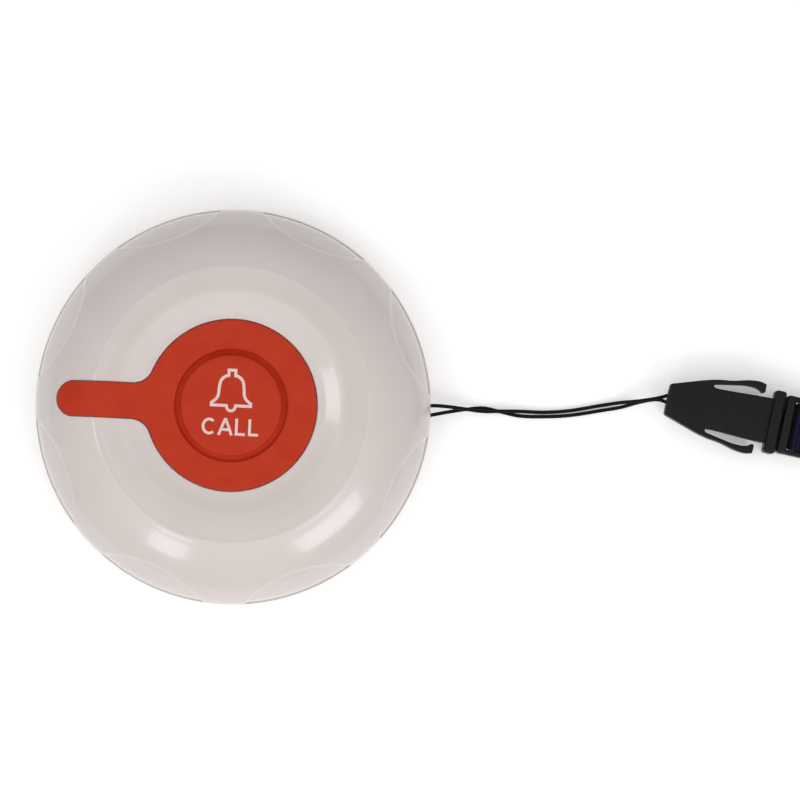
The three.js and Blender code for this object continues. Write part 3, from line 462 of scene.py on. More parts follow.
# Top cover. Glossy off-white injection-moulded shell: a dish round the key, a raised ring, a
# domed flank with eight shallow scallops at the rim, and a rounded lip round the key's recess.
HOUSING_R = 0.041
RIM_Z = 0.0075
CREST_Z = 0.0202
CREST_INNER_R = 0.0244
CREST_OUTER_R = 0.0286
CREST_FALL = 0.00035
DISH_DEPTH = 0.0014
DOME_CENTRE_R = 0.014
SKIN_STEPS = 84
SKIN_CROWDING = 1.7
COVER_WALL = 0.0022
COVER_HOLE_R = 0.0119
COVER_SHOULDER_R = 0.0389
COVER_SHOULDER_HEIGHT = 0.0022
COVER_RIM_EDGE = 0.0006
COVER_LIP_R = 0.0003
SCALLOPS = 8
SCALLOP_R = 0.027
SCALLOP_MIDDLE = HOUSING_R - 0.0047 + SCALLOP_R
SCALLOP_DEPTH = 0.00038
SCALLOP_EDGE = 0.0006
CREST_LINE_R = 0.0283
CREST_LINE_WIDTH = 0.00045
CREST_LINE_HEIGHT = 0.00009
PAD_R = 0.01755
TAB_LENGTH = 0.0359
TAB_HALF = 0.0036
TAB_TIP = TAB_LENGTH - TAB_HALF
TAB_FILLET_R = 0.0043
PAD_DEPTH = 0.0009
RECESS_DEPTH = PAD_DEPTH + 0.0003
RECESS_GAP = 0.00012

DOME_WIDTH = HOUSING_R - DOME_CENTRE_R
DOME_START = math.acos((CREST_OUTER_R - DOME_CENTRE_R) / DOME_WIDTH)
DOME_HEIGHT = (CREST_Z - CREST_FALL - RIM_Z) / math.sin(DOME_START)
DISH_Z = CREST_Z - DISH_DEPTH


def skin_height(radius):
    """Height of the cover's skin at this distance from its axis."""
    if radius <= CREST_INNER_R:
        return DISH_Z + DISH_DEPTH * eased((radius - PAD_R) / (CREST_INNER_R - PAD_R))
    if radius <= CREST_OUTER_R:
        share = (radius - CREST_INNER_R) / (CREST_OUTER_R - CREST_INNER_R)
        return CREST_Z - CREST_FALL * share * share
    cosine = min((radius - DOME_CENTRE_R) / DOME_WIDTH, 1.0)
    return RIM_Z + DOME_HEIGHT * math.sqrt(1 - cosine * cosine)


def key_radius(angle, grow):
    """Distance from the axis to the key's outline, which is a disc and a tab towards -X."""
    disc = PAD_R + grow
    tab = TAB_HALF + grow
    fillet = TAB_FILLET_R - grow
    fillet_far = disc + fillet
    fillet_y = tab + fillet
    fillet_angle = math.asin(fillet_y / fillet_far)
    from_tab = math.pi - abs(math.remainder(angle, math.tau))
    if from_tab < math.atan2(tab, TAB_TIP):
        return TAB_TIP * math.cos(from_tab) + math.sqrt(tab**2 - (TAB_TIP * math.sin(from_tab))**2)
    if from_tab < math.atan2(tab, fillet_far * math.cos(fillet_angle)):
        return tab / math.sin(from_tab)
    if from_tab < fillet_angle:
        turned = fillet_angle - from_tab
        return fillet_far * math.cos(turned) - math.sqrt(fillet**2 - (fillet_far * math.sin(turned))**2)
    return disc


def key_angles():
    """Angles from the axis at which the outline is cut into short, even steps."""
    fillet_y = TAB_HALF + TAB_FILLET_R
    fillet_far = PAD_R + TAB_FILLET_R
    fillet_x = math.sqrt(fillet_far**2 - fillet_y**2)
    half_side = [math.atan2(TAB_HALF * math.sin(turn), TAB_TIP + TAB_HALF * math.cos(turn))
                 for turn in quarter_turn(20)]
    side_steps = 16
    half_side += [math.atan2(TAB_HALF, TAB_TIP + (fillet_x - TAB_TIP) * k / side_steps)
                  for k in range(1, side_steps + 1)]
    meet = math.asin(fillet_y / fillet_far)
    for k in range(1, side_steps + 1):
        turn = k / side_steps * (math.pi / 2 - meet)
        half_side.append(math.atan2(fillet_y - TAB_FILLET_R * math.cos(turn),
                                    fillet_x - TAB_FILLET_R * math.sin(turn)))
    disc_steps = 320
    half_side += [meet + (math.pi - meet) * k / disc_steps for k in range(1, disc_steps)]
    return [math.pi] + [math.pi - a for a in half_side] + [0.0] + [a - math.pi for a in reversed(half_side)]


KEY_ANGLES = key_angles()


def ring_shell(name, rings):
    """A closed shell through rings of vertices. Each ring is a function of the angle that gives
    a distance from the axis and a height, and the last ring joins the first."""
    bm = bmesh.new()
    circles = []
    for ring in rings:
        verts = []
        for angle in KEY_ANGLES:
            radius, height = ring(angle)
            verts.append(bm.verts.new((radius * math.cos(angle), radius * math.sin(angle), height)))
        circles.append(verts)
    for here, after in zip(circles, circles[1:] + circles[:1]):
        for k in range(len(here)):
            n = (k + 1) % len(here)
            bm.faces.new((here[k], here[n], after[n], after[k]))
    bmesh.ops.recalc_face_normals(bm, faces=bm.faces)
    return piece_of(name, bm)


def scallop_depth(x, y):
    """How far the skin is let in at this place."""
    angle = math.atan2(y, x)
    sector = math.tau / SCALLOPS
    middle = (math.floor(angle / sector) + 0.5) * sector
    centre = (SCALLOP_MIDDLE * math.cos(middle), SCALLOP_MIDDLE * math.sin(middle))
    return SCALLOP_DEPTH * eased((SCALLOP_R - math.dist((x, y), centre)) / SCALLOP_EDGE)


def wall(grow, depth):
    """A ring on the grown outline of the key, this far below the skin."""
    def ring(angle):
        radius = key_radius(angle, grow)
        return radius, skin_height(radius) - depth
    return ring


def level(radius, height):
    """A round ring, level all the way."""
    return lambda angle: (radius, height)


def cover_rings():
    """The cover's section, from the recess over the lip and the skin, and back along the inside."""
    def lip(share):
        def ring(angle):
            edge = key_radius(angle, RECESS_GAP)
            radius = edge + COVER_LIP_R * (1 - math.cos(share * math.pi / 2))
            return radius, skin_height(radius) - COVER_LIP_R * (1 - math.sin(share * math.pi / 2))
        return ring

    def skin(share):
        def ring(angle):
            start = key_radius(angle, RECESS_GAP) + COVER_LIP_R
            radius = start + (HOUSING_R - start) * share
            height = skin_height(radius)
            height += CREST_LINE_HEIGHT * math.exp(-((radius - CREST_LINE_R) / CREST_LINE_WIDTH)**2)
            slope = -1e3
            if share < 1:
                slope = (skin_height(radius + near) - skin_height(radius - near)) / (2 * near)
            depth = scallop_depth(radius * math.cos(angle), radius * math.sin(angle))
            steep = math.hypot(1, slope)
            return radius + depth * slope / steep, height - depth / steep
        return ring

    def under(share):
        def ring(angle):
            radius = COVER_SHOULDER_R + (COVER_HOLE_R - COVER_SHOULDER_R) * share
            return radius, skin_height(radius) - COVER_WALL
        return ring

    def recess_floor(share):
        def ring(angle):
            radius = COVER_HOLE_R + (key_radius(angle, RECESS_GAP) - COVER_HOLE_R) * share
            return radius, skin_height(radius) - RECESS_DEPTH
        return ring

    near = 1e-6
    rings = [wall(RECESS_GAP, RECESS_DEPTH), wall(RECESS_GAP, COVER_LIP_R)]
    rings += [lip(k / 4) for k in range(1, 4)]
    rings += [skin(1 - (1 - k / SKIN_STEPS)**SKIN_CROWDING) for k in range(SKIN_STEPS + 1)]
    rings += [level(HOUSING_R - COVER_RIM_EDGE, RIM_Z), level(COVER_SHOULDER_R, RIM_Z)]
    rings += [level(COVER_SHOULDER_R, RIM_Z + COVER_SHOULDER_HEIGHT)]
    rings += [under(k / 8) for k in range(9)]
    rings += [recess_floor(k / 8) for k in range(8)]
    return rings


WHITE_LIGHT = (0.715, 0.655, 0.635)
WHITE_DARK = (0.69, 0.63, 0.61)
gloss_white = surface_material("gloss_white", WHITE_LIGHT, WHITE_DARK, (0.16, 0.24), (0.0009, 0.000002),
                               0.012, Coat_Weight=0.4, Coat_Roughness=0.06, IOR=1.5)
cover = ring_shell("cover_shell", cover_rings())
smooth(cover, 50)
cover.data.materials.append(gloss_white)
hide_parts("top_cover")
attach(cover, "housing")


# Base cover. The tray under it, moulded in the same white: a flat underside with a rounded edge,
# four wells for the cover screws, and the window that the lanyard string leaves by.
PARTING_GAP = 0.0003
BASE_RIM_Z = RIM_Z - PARTING_GAP
BASE_RIM_CHAMFER = 0.0002
BASE_EDGE_R = 0.0045
BASE_FLOOR = 0.002
BASE_INNER_R = 0.0374
BASE_LIP_R = 0.0386
BASE_LIP_Z = RIM_Z + 0.0019
BOSS_R = 0.0039
BOSS_TOP = 0.0069
WELL_R = 0.0029
WELL_CHAMFER = 0.0003
WELL_DEPTH = 0.0023
BORE_R = 0.00145
SCREW_RING = 0.0325
SCREW_ANGLES = (45, 135, 210, 330)
POST_TOP = 0.0072
WINDOW_HALF = 0.003
WINDOW_HEIGHT = 0.0024
WINDOW_ROUND = 0.0005
OVERCUT = 0.001


def spun(name, profile, steps=192):
    """A turned piece from a profile of (radius, height) points that starts and ends on the axis,
    or closes on itself."""
    bm = bmesh.new()
    verts = [bm.verts.new((radius, 0, height)) for radius, height in profile]
    edges = [bm.edges.new(pair) for pair in zip(verts, verts[1:])]
    if profile[0][0] > 0 and profile[-1][0] > 0:
        edges.append(bm.edges.new((verts[-1], verts[0])))
    bmesh.ops.spin(bm, geom=verts + edges, cent=(0, 0, 0), axis=(0, 0, 1), angle=math.tau,
                   steps=steps, use_merge=True)
    bmesh.ops.remove_doubles(bm, verts=bm.verts, dist=1e-7)
    bmesh.ops.recalc_face_normals(bm, faces=bm.faces)
    return piece_of(name, bm)


def solid_block(name, low, high, place=None, bevel=0.0, segments=2):
    """A block between two corners, its edges rounded, turned and moved by place."""
    bm = bmesh.new()
    sizes = [b - a for a, b in zip(low, high)]
    middle = [(a + b) / 2 for a, b in zip(low, high)]
    bmesh.ops.create_cube(bm, size=1, matrix=Matrix.Translation(middle) @ Matrix.Diagonal((*sizes, 1)))
    if bevel:
        bmesh.ops.bevel(bm, geom=bm.edges[:], offset=bevel, segments=segments, profile=0.5,
                        affect="EDGES", material=-1)
    if place:
        bm.transform(place)
    return piece_of(name, bm)


def combined(piece, tool, operation):
    """Cuts or joins the piece with the tool, which is used up, and leaves it without a material."""
    modifier = piece.modifiers.new("combine", "BOOLEAN")
    modifier.operation = operation
    modifier.solver = "EXACT"
    modifier.object = tool
    bpy.context.view_layer.update()
    result = bpy.data.meshes.new_from_object(piece.evaluated_get(bpy.context.evaluated_depsgraph_get()))
    piece.modifiers.clear()
    piece.data = result
    piece.data.materials.clear()
    bpy.data.objects.remove(tool)


def base_profile():
    """Half the tray's section: underside, rounded edge, rim, lip and floor."""
    edge = [(HOUSING_R - BASE_EDGE_R + BASE_EDGE_R * math.sin(turn), BASE_EDGE_R * (1 - math.cos(turn)))
            for turn in quarter_turn(12, 0)]
    return [(0, 0), *edge, (HOUSING_R, BASE_RIM_Z - BASE_RIM_CHAMFER),
            (HOUSING_R - BASE_RIM_CHAMFER, BASE_RIM_Z),
            (BASE_LIP_R, BASE_RIM_Z), (BASE_LIP_R, BASE_LIP_Z), (BASE_INNER_R, BASE_LIP_Z),
            (BASE_INNER_R, BASE_EDGE_R), (BASE_INNER_R - BASE_FLOOR, BASE_FLOOR), (0, BASE_FLOOR)]


base = spun("base_shell", base_profile())
screw_places = [(SCREW_RING * math.cos(math.radians(a)), SCREW_RING * math.sin(math.radians(a)))
                for a in SCREW_ANGLES]
in_floor = BASE_FLOOR / 2
for x, y in screw_places:
    boss = spun("boss", [(0, in_floor), (BOSS_R, in_floor), (BOSS_R, BOSS_TOP), (0, BOSS_TOP)], 48)
    boss.data.transform(Matrix.Translation((x, y, 0)))
    combined(base, boss, "UNION")
    well = spun("well", [(0, -OVERCUT), (WELL_R + WELL_CHAMFER, -OVERCUT), (WELL_R, WELL_CHAMFER),
                         (WELL_R, WELL_DEPTH), (BORE_R, WELL_DEPTH), (BORE_R, BOSS_TOP + OVERCUT),
                         (0, BOSS_TOP + OVERCUT)], 48)
    well.data.transform(Matrix.Translation((x, y, 0)))
    combined(base, well, "DIFFERENCE")
window_z = (POST_PLACE.z - WINDOW_HEIGHT / 2, POST_PLACE.z + WINDOW_HEIGHT / 2)
window = solid_block("window", (BASE_INNER_R - BASE_FLOOR, -WINDOW_HALF, window_z[0]),
                     (HOUSING_R + OVERCUT, WINDOW_HALF, window_z[1]), bevel=WINDOW_ROUND)
combined(base, window, "DIFFERENCE")
post = spun("post", [(0, in_floor), (POST_R, in_floor), (POST_R, POST_TOP), (0, POST_TOP)], 32)
post.data.transform(Matrix.Translation((POST_PLACE.x, 0, 0)))
combined(base, post, "UNION")
smooth(base, 40)
base.data.materials.append(gloss_white)
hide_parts("base_cover")
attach(base, "housing")


# Silicone pad. Matt red silicone, the fixed part of the key: a flat ring and a straight tab that
# lie in the cover's recess and stand a little proud, with the thin groove round the cap.
PAD_PROUD = 0.0003
PAD_EDGE_R = 0.00022
GROOVE_R = 0.0116
GROOVE_DRAFT = 0.0001
CAP_R = 0.0104
CAP_GAP = 0.0003
WEB_TOP_Z = DISH_Z - PAD_DEPTH + 0.00045


def pad_rings():
    """The pad's section, from its side over the rounded edge and the top into the groove."""
    def rounded(share):
        def ring(angle):
            edge = key_radius(angle, 0)
            radius = edge - PAD_EDGE_R * (1 - math.cos(share * math.pi / 2))
            height = skin_height(radius) + PAD_PROUD - PAD_EDGE_R * (1 - math.sin(share * math.pi / 2))
            return radius, height
        return ring

    def across(share, offset):
        def ring(angle):
            edge = key_radius(angle, 0) - PAD_EDGE_R
            radius = edge + (GROOVE_R + PAD_EDGE_R - edge) * share
            return radius, skin_height(radius) + offset
        return ring

    top = DISH_Z + PAD_PROUD
    top_steps = 40
    under_steps = 8
    rings = [wall(0, PAD_DEPTH), wall(0, PAD_EDGE_R - PAD_PROUD)]
    rings += [rounded(k / 4) for k in range(1, 5)]
    rings += [across(k / top_steps, PAD_PROUD) for k in range(1, top_steps + 1)]
    rings += [level(GROOVE_R + PAD_EDGE_R * (1 - math.sin(turn)), top - PAD_EDGE_R * (1 - math.cos(turn)))
              for turn in quarter_turn(4)]
    rings += [level(GROOVE_R - GROOVE_DRAFT, WEB_TOP_Z), level(CAP_R + CAP_GAP, WEB_TOP_Z),
              level(CAP_R + CAP_GAP, DISH_Z - PAD_DEPTH)]
    rings += [across(1 - k / under_steps, -PAD_DEPTH) for k in range(under_steps)]
    return rings


RED_LIGHT = (0.545, 0.040, 0.011)
RED_DARK = (0.505, 0.031, 0.008)
red_silicone = surface_material("red_silicone", RED_LIGHT, RED_DARK, (0.42, 0.55), (0.00025, 0.000006),
                                0.004, Subsurface_Weight=0.05, Subsurface_Scale=0.002,
                                Specular_IOR_Level=0.25, IOR=1.42)
pad = ring_shell("key_pad", pad_rings())
smooth(pad, 50)
pad.data.materials.append(red_silicone)
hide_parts("silicone_pad")
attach(pad, "housing")


# Key cap. The raised middle of the same silicone moulding, slightly crowned with a rounded edge,
# and the thin web that joins it to the pad and lets it travel.
CAP_PROUD = 0.0007
CAP_THICKNESS = 0.00185
CAP_EDGE_Z = DISH_Z + PAD_PROUD + CAP_PROUD
CAP_UNDER_Z = CAP_EDGE_Z - CAP_THICKNESS
CAP_CROWN = 0.00025
CAP_ROUND = 0.0005
WEB_OUTER_R = GROOVE_R - 0.0002
WEB_INNER_R = CAP_R - 0.0001
WEB_BEND_R = CAP_R + 0.0004
WEB_UNDER_BEND_R = CAP_R + 0.0002
WEB_BEND_RISE = 0.00025
WEB_RISE = 0.0009
WEB_CAP_THICKNESS = 0.00035
WEB_PAD_THICKNESS = 0.00005


def cap_height(radius):
    """Height of the cap's crowned top at this distance from its axis."""
    return CAP_EDGE_Z + CAP_CROWN * (1 - (radius / CAP_R)**2)


cap_profile = [(0, CAP_UNDER_Z), (CAP_R, CAP_UNDER_Z), (CAP_R, CAP_EDGE_Z - CAP_ROUND)]
cap_profile += [(CAP_R - CAP_ROUND * (1 - math.cos(turn)), CAP_EDGE_Z - CAP_ROUND * (1 - math.sin(turn)))
                for turn in quarter_turn(6)]
cap_profile += [(CAP_R * (1 - k / 12), cap_height(CAP_R * (1 - k / 12))) for k in range(1, 13)]
cap = spun("key_cap", cap_profile)
smooth(cap, 50)
cap.data.materials.append(red_silicone)
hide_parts("button_cap")
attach(cap, "key")

web_profile = [(WEB_OUTER_R, WEB_TOP_Z), (WEB_BEND_R, WEB_TOP_Z + WEB_BEND_RISE),
               (WEB_INNER_R, WEB_TOP_Z + WEB_RISE),
               (WEB_INNER_R, WEB_TOP_Z + WEB_RISE - WEB_CAP_THICKNESS),
               (WEB_UNDER_BEND_R, WEB_TOP_Z), (WEB_OUTER_R, WEB_TOP_Z - WEB_PAD_THICKNESS)]
web = spun("key_web", web_profile)
smooth(web, 50)
web.data.materials.append(red_silicone)
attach(web, "housing")
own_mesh(web)


# Print on the cap. Pale ink, a hair above the silicone: the outline of a bell and a plain word, both
# in even strokes. Their outlines and widths are in millimetres.
MM = 0.001
BELL_STROKE = 0.6
LETTER_STROKE = 0.56
MITRE_LIMIT = 0.5
INK = 0.00003
BELL_LOW = -0.12
CLAPPER_HALF = 0.94
CLAPPER_DROP = 1.08
BELL_SIDE = [(0.70, 7.15), (0.70, 6.05), (1.30, 5.90), (1.86, 5.50), (2.25, 4.95), (2.45, 4.30),
             (2.56, 3.20), (2.62, 2.30), (2.78, 1.65), (3.10, 1.15), (3.55, 0.75), (4.02, 0.40),
             (4.02, BELL_LOW), (CLAPPER_HALF, BELL_LOW)]
CLAPPER = [(CLAPPER_HALF * math.cos(math.radians(a)), BELL_LOW - CLAPPER_DROP * math.sin(math.radians(a)))
           for a in (25, 45, 65, 90, 115, 135, 155)]
LETTER_TOP = -2.75
LETTER_LOW = -6.2
LETTER_BASE = LETTER_LOW + LETTER_STROKE / 2
LETTER_MIDDLE = (LETTER_TOP + LETTER_LOW) / 2
ROUND_MIDDLE_X = -4.25
ROUND_HALF_WIDTH = 1.26
ROUND_HALF_HEIGHT = LETTER_TOP - LETTER_MIDDLE - LETTER_STROKE / 2


def stroke(bm, points, width, closed):
    """A flat ribbon of this width along the points, its corners mitred, on the cap."""
    points = [Vector(p) * MM for p in points]
    count = len(points)
    rows = []
    for i, here in enumerate(points):
        before = points[i - 1] if closed or i else None
        after = points[(i + 1) % count] if closed or i < count - 1 else None
        sides = []
        for start, end in ((before, here), (here, after)):
            if start is not None and end is not None:
                along = (end - start).normalized()
                sides.append(Vector((-along.y, along.x)))
        normal = sum(sides, Vector((0, 0))).normalized()
        reach = width * MM / 2 / max(normal.dot(sides[0]), MITRE_LIMIT)
        row = []
        for flank in (normal * reach, normal * -reach):
            place = here + flank
            height = cap_height(place.length) + INK
            row.append(bm.verts.new((place.x, place.y, height)))
        rows.append(row)
    pairs = list(zip(rows, rows[1:])) + ([(rows[-1], rows[0])] if closed else [])
    for (a, b), (c, d) in pairs:
        bm.faces.new((a, b, d, c))


def thicken(bm, faces, height):
    """Makes flat faces a solid by extruding them straight up, or down if the height is negative."""
    extruded = bmesh.ops.extrude_face_region(bm, geom=faces, use_keep_orig=True)
    moved = [item for item in extruded["geom"] if isinstance(item, bmesh.types.BMVert)]
    bmesh.ops.translate(bm, verts=moved, vec=(0, 0, height))
    bmesh.ops.recalc_face_normals(bm, faces=bm.faces)


def print_marks():
    """The bell and the word, drawn on the cap's top and given the thickness of the ink."""
    bm = bmesh.new()
    bell = BELL_SIDE + CLAPPER + [(-x, y) for x, y in reversed(BELL_SIDE)]
    stroke(bm, bell, BELL_STROKE, True)
    open_round = [(ROUND_MIDDLE_X + ROUND_HALF_WIDTH * math.cos(math.radians(a)),
                   LETTER_MIDDLE + ROUND_HALF_HEIGHT * math.sin(math.radians(a)))
                  for a in range(48, 313, 12)]
    letters = [
        open_round,
        [(-2.28, LETTER_LOW), (-1.55, -4.26), (-0.95, LETTER_TOP)],
        [(-0.95, LETTER_TOP), (-0.35, -4.26), (0.38, LETTER_LOW)],
        [(-1.84, -5.05), (-0.06, -5.05)],
        [(1.33, LETTER_TOP), (1.33, LETTER_LOW)],
        [(1.33, LETTER_BASE), (3.12, LETTER_BASE)],
        [(4.03, LETTER_TOP), (4.03, LETTER_LOW)],
        [(4.03, LETTER_BASE), (5.82, LETTER_BASE)],
    ]
    for line in letters:
        stroke(bm, line, LETTER_STROKE, False)
    bmesh.ops.recalc_face_normals(bm, faces=bm.faces)
    bmesh.ops.reverse_faces(bm, faces=[face for face in bm.faces if face.normal.z < 0])
    thicken(bm, bm.faces[:], -2 * INK)
    return piece_of("key_print", bm)


marks = print_marks()
marks.data.materials.append(surface_material(
    "pale_ink", (0.86, 0.66, 0.64), (0.80, 0.58, 0.56), (0.45, 0.6), (0.0003, 0.000004), 0.0015))
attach(marks, "key")


# Buckle socket. Black acetal moulding: a flat tapered body with the string's slot and bar at its
# narrow end, two spring arms beside it, and a thick flange round the mouth.
SOCKET_HALF_THICKNESS = 0.0027
FLANGE_HALF_THICKNESS = 0.0037
SOCKET_ROUND = 0.00028
FLANGE_START = 0.0216
FLANGE_END = 0.0240
FLANGE_HALF = 0.0066
FLANGE_ROUND = 0.0006
CAVITY_START = 0.012
CAVITY_HALF = 0.0035
CAVITY_HALF_HEIGHT = 0.0017
CUT_ROUND = 0.0003
SLOT_HALF = TURN_R + STRING_R + STRING_PLAY
SLOT_HALF_HEIGHT = 0.00115
STRING_BAR_HALF = 0.0017
ON_BUCKLE = Matrix.Translation(BUCKLE_PLACE) @ Matrix.Rotation(BUCKLE_TURN, 4, "Z")
# Runs of the half outline in millimetres along and across, each run smooth, corners between
SOCKET_RUNS = [
    [(0, 2.9), (0.12, 3.22), (0.5, 3.4)],
    [(0.5, 3.4), (8.8, 6.0), (12.6, 6.6), (16.1, 7.45), (18.2, 7.6), (19.5, 7.3)],
    [(19.5, 7.3), (19.5, 5.6), (19.1, 5.4)],
    [(19.1, 5.4), (18.4, 5.9), (17.4, 6.2), (15.4, 6.2), (12.6, 5.75), (9.9, 5.25), (9.1, 5.05),
     (8.85, 4.75), (9.1, 4.4), (9.9, 4.3), (17.6, 4.6), (22.8, 4.8)],
]


def socket_outline():
    """The whole outline: the runs one after the other, and their mirror image back."""
    half = []
    for run in SOCKET_RUNS:
        points = [Vector((u, v, 0)) * MM for u, v in run]
        half += smooth_route(points, 0.5 * MM)[:-1]
    half.append(points[-1])
    return half + [Vector((p.x, -p.y, 0)) for p in reversed(half)]


def flat_moulding(name, outline, half_thickness, bevel):
    """A plate of this outline with rounded upper and lower edges, centred on the buckle's axis."""
    bm = bmesh.new()
    face = bm.faces.new([bm.verts.new((p.x, p.y, -half_thickness)) for p in outline])
    thicken(bm, [face], 2 * half_thickness)
    flat = [e for e in bm.edges if abs(e.verts[0].co.z - e.verts[1].co.z) < 1e-7]
    bmesh.ops.bevel(bm, geom=flat, offset=bevel, segments=3, profile=0.5, affect="EDGES", material=-1)
    bm.transform(ON_BUCKLE)
    return piece_of(name, bm)


socket = flat_moulding("socket_moulding", socket_outline(), SOCKET_HALF_THICKNESS, SOCKET_ROUND)
flange = solid_block("flange", (FLANGE_START, -FLANGE_HALF, -FLANGE_HALF_THICKNESS),
                     (FLANGE_END, FLANGE_HALF, FLANGE_HALF_THICKNESS), ON_BUCKLE, FLANGE_ROUND, 3)
combined(socket, flange, "UNION")
mouth = solid_block("mouth", (CAVITY_START, -CAVITY_HALF, -CAVITY_HALF_HEIGHT),
                    (FLANGE_END + OVERCUT, CAVITY_HALF, CAVITY_HALF_HEIGHT), ON_BUCKLE, CUT_ROUND)
combined(socket, mouth, "DIFFERENCE")
slot_cut = solid_block("slot_cut", (-OVERCUT, -SLOT_HALF, -SLOT_HALF_HEIGHT),
                       (STRING_BAR_U + SLOT_HALF, SLOT_HALF, SLOT_HALF_HEIGHT), ON_BUCKLE, CUT_ROUND)
combined(socket, slot_cut, "DIFFERENCE")
string_bar = spun("string_bar", [(0, -STRING_BAR_HALF), (POST_R, -STRING_BAR_HALF),
                                 (POST_R, STRING_BAR_HALF), (0, STRING_BAR_HALF)], 32)
string_bar.data.transform(ON_BUCKLE @ Matrix.Translation((STRING_BAR_U, 0, 0)))
combined(socket, string_bar, "UNION")
smooth(socket, 40)
black_acetal = surface_material("black_acetal", (0.0080, 0.0074, 0.0066), (0.0050, 0.0046, 0.0042),
                                (0.36, 0.5), (0.00018, 0.00001), 0.0012,
                                Specular_IOR_Level=0.22, IOR=1.48)
socket.data.materials.append(black_acetal)
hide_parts("buckle_socket")
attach(socket, "housing")


# Buckle plug. The same black acetal: a tongue and two prongs that enter the socket, a stop plate
# that meets its flange, and a frame with the bar that the tape is sewn round.
PLUG_START = 0.0243
PLATE_END = 0.0263
PLUG_HALF = 0.0061
PLUG_HALF_THICKNESS = 0.0035
RAIL = 0.001
RAIL_HALF_THICKNESS = 0.0026
PLUG_FIT = 0.0003
PLUG_ROUND = 0.00025
TONGUE_HALF = 0.0011
PRONG_HALF = 0.00055
PRONG_REACH = 0.008
PRONG_HALF_THICKNESS = CAVITY_HALF_HEIGHT - PLUG_FIT
IN_PLATE = PLUG_START + 0.001

plug = solid_block("plug_moulding", (PLUG_START, -PLUG_HALF, -PLUG_HALF_THICKNESS),
                   (PLATE_END, PLUG_HALF, PLUG_HALF_THICKNESS), ON_BUCKLE, FLANGE_ROUND, 3)
plug_blocks = [
    ((PLUG_START - PRONG_REACH, -TONGUE_HALF, -PRONG_HALF_THICKNESS),
     (IN_PLATE, TONGUE_HALF, PRONG_HALF_THICKNESS)),
    ((BAR_START, RAIL / 2 - PLUG_HALF, -BAR_HALF), (PLUG_END, PLUG_HALF - RAIL / 2, BAR_HALF)),
]
for side in (-1, 1):
    prong = side * (CAVITY_HALF - PLUG_FIT - PRONG_HALF)
    plug_blocks.append(((PLUG_START - PRONG_REACH, prong - PRONG_HALF, -PRONG_HALF_THICKNESS),
                        (IN_PLATE, prong + PRONG_HALF, PRONG_HALF_THICKNESS)))
    rail = side * (PLUG_HALF - RAIL / 2)
    plug_blocks.append(((IN_PLATE, rail - RAIL / 2, -RAIL_HALF_THICKNESS),
                        (PLUG_END, rail + RAIL / 2, RAIL_HALF_THICKNESS)))
for low, high in plug_blocks:
    combined(plug, solid_block("plug_block", low, high, ON_BUCKLE, PLUG_ROUND), "UNION")
smooth(plug, 40)
plug.data.materials.append(black_acetal)
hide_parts("buckle_plug")
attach(plug, "strap")
[tuple(p) for p in strap_line]


# Cover screws. Nickel-plated pan-head steel screws with a cross recess, driven up through the base
# into the cover's bosses.
HEAD_LOW = 0.0004
HEAD_R = 0.0026
HEAD_HEIGHT = 0.0016
# The pan head's rounding: how far in from its edge, and how far up from its low side
HEAD_ROUNDING = ((0.0009, 0.00005), (0.0003, 0.0003), (0, 0.0008))
SHANK_R = 0.00115
SHANK_Z = HEAD_LOW + HEAD_HEIGHT
SCREW_LENGTH = 0.011
CROSS_LENGTH = 0.0028
CROSS_WIDTH = 0.0006
CROSS_DEPTH = 0.0013
TURN_BETWEEN = 0.4

plated_steel = surface_material("plated_steel", (0.62, 0.62, 0.63), (0.50, 0.50, 0.51), (0.22, 0.36),
                                (0.0003, 0.000004), 0.002, Metallic=1.0)
screw_profile = [(0, HEAD_LOW), *((HEAD_R - inward, HEAD_LOW + up) for inward, up in HEAD_ROUNDING),
                 (HEAD_R, SHANK_Z), (SHANK_R, SHANK_Z), (SHANK_R, SHANK_Z + SCREW_LENGTH - SHANK_R),
                 (0, SHANK_Z + SCREW_LENGTH)]
for number, (x, y) in enumerate(screw_places, 1):
    screw = spun(f"housing_screw_{number}", screw_profile, 48)
    for long, wide in ((CROSS_LENGTH, CROSS_WIDTH), (CROSS_WIDTH, CROSS_LENGTH)):
        cross = solid_block("cross", (-long / 2, -wide / 2, 0), (long / 2, wide / 2, CROSS_DEPTH))
        combined(screw, cross, "DIFFERENCE")
    screw.data.transform(Matrix.Translation((x, y, 0)) @ Matrix.Rotation(TURN_BETWEEN * number, 4, "Z"))
    smooth(screw, 40)
    screw.data.materials.append(plated_steel)
    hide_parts(f"cover_screw_{number}")
    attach(screw, "housing")


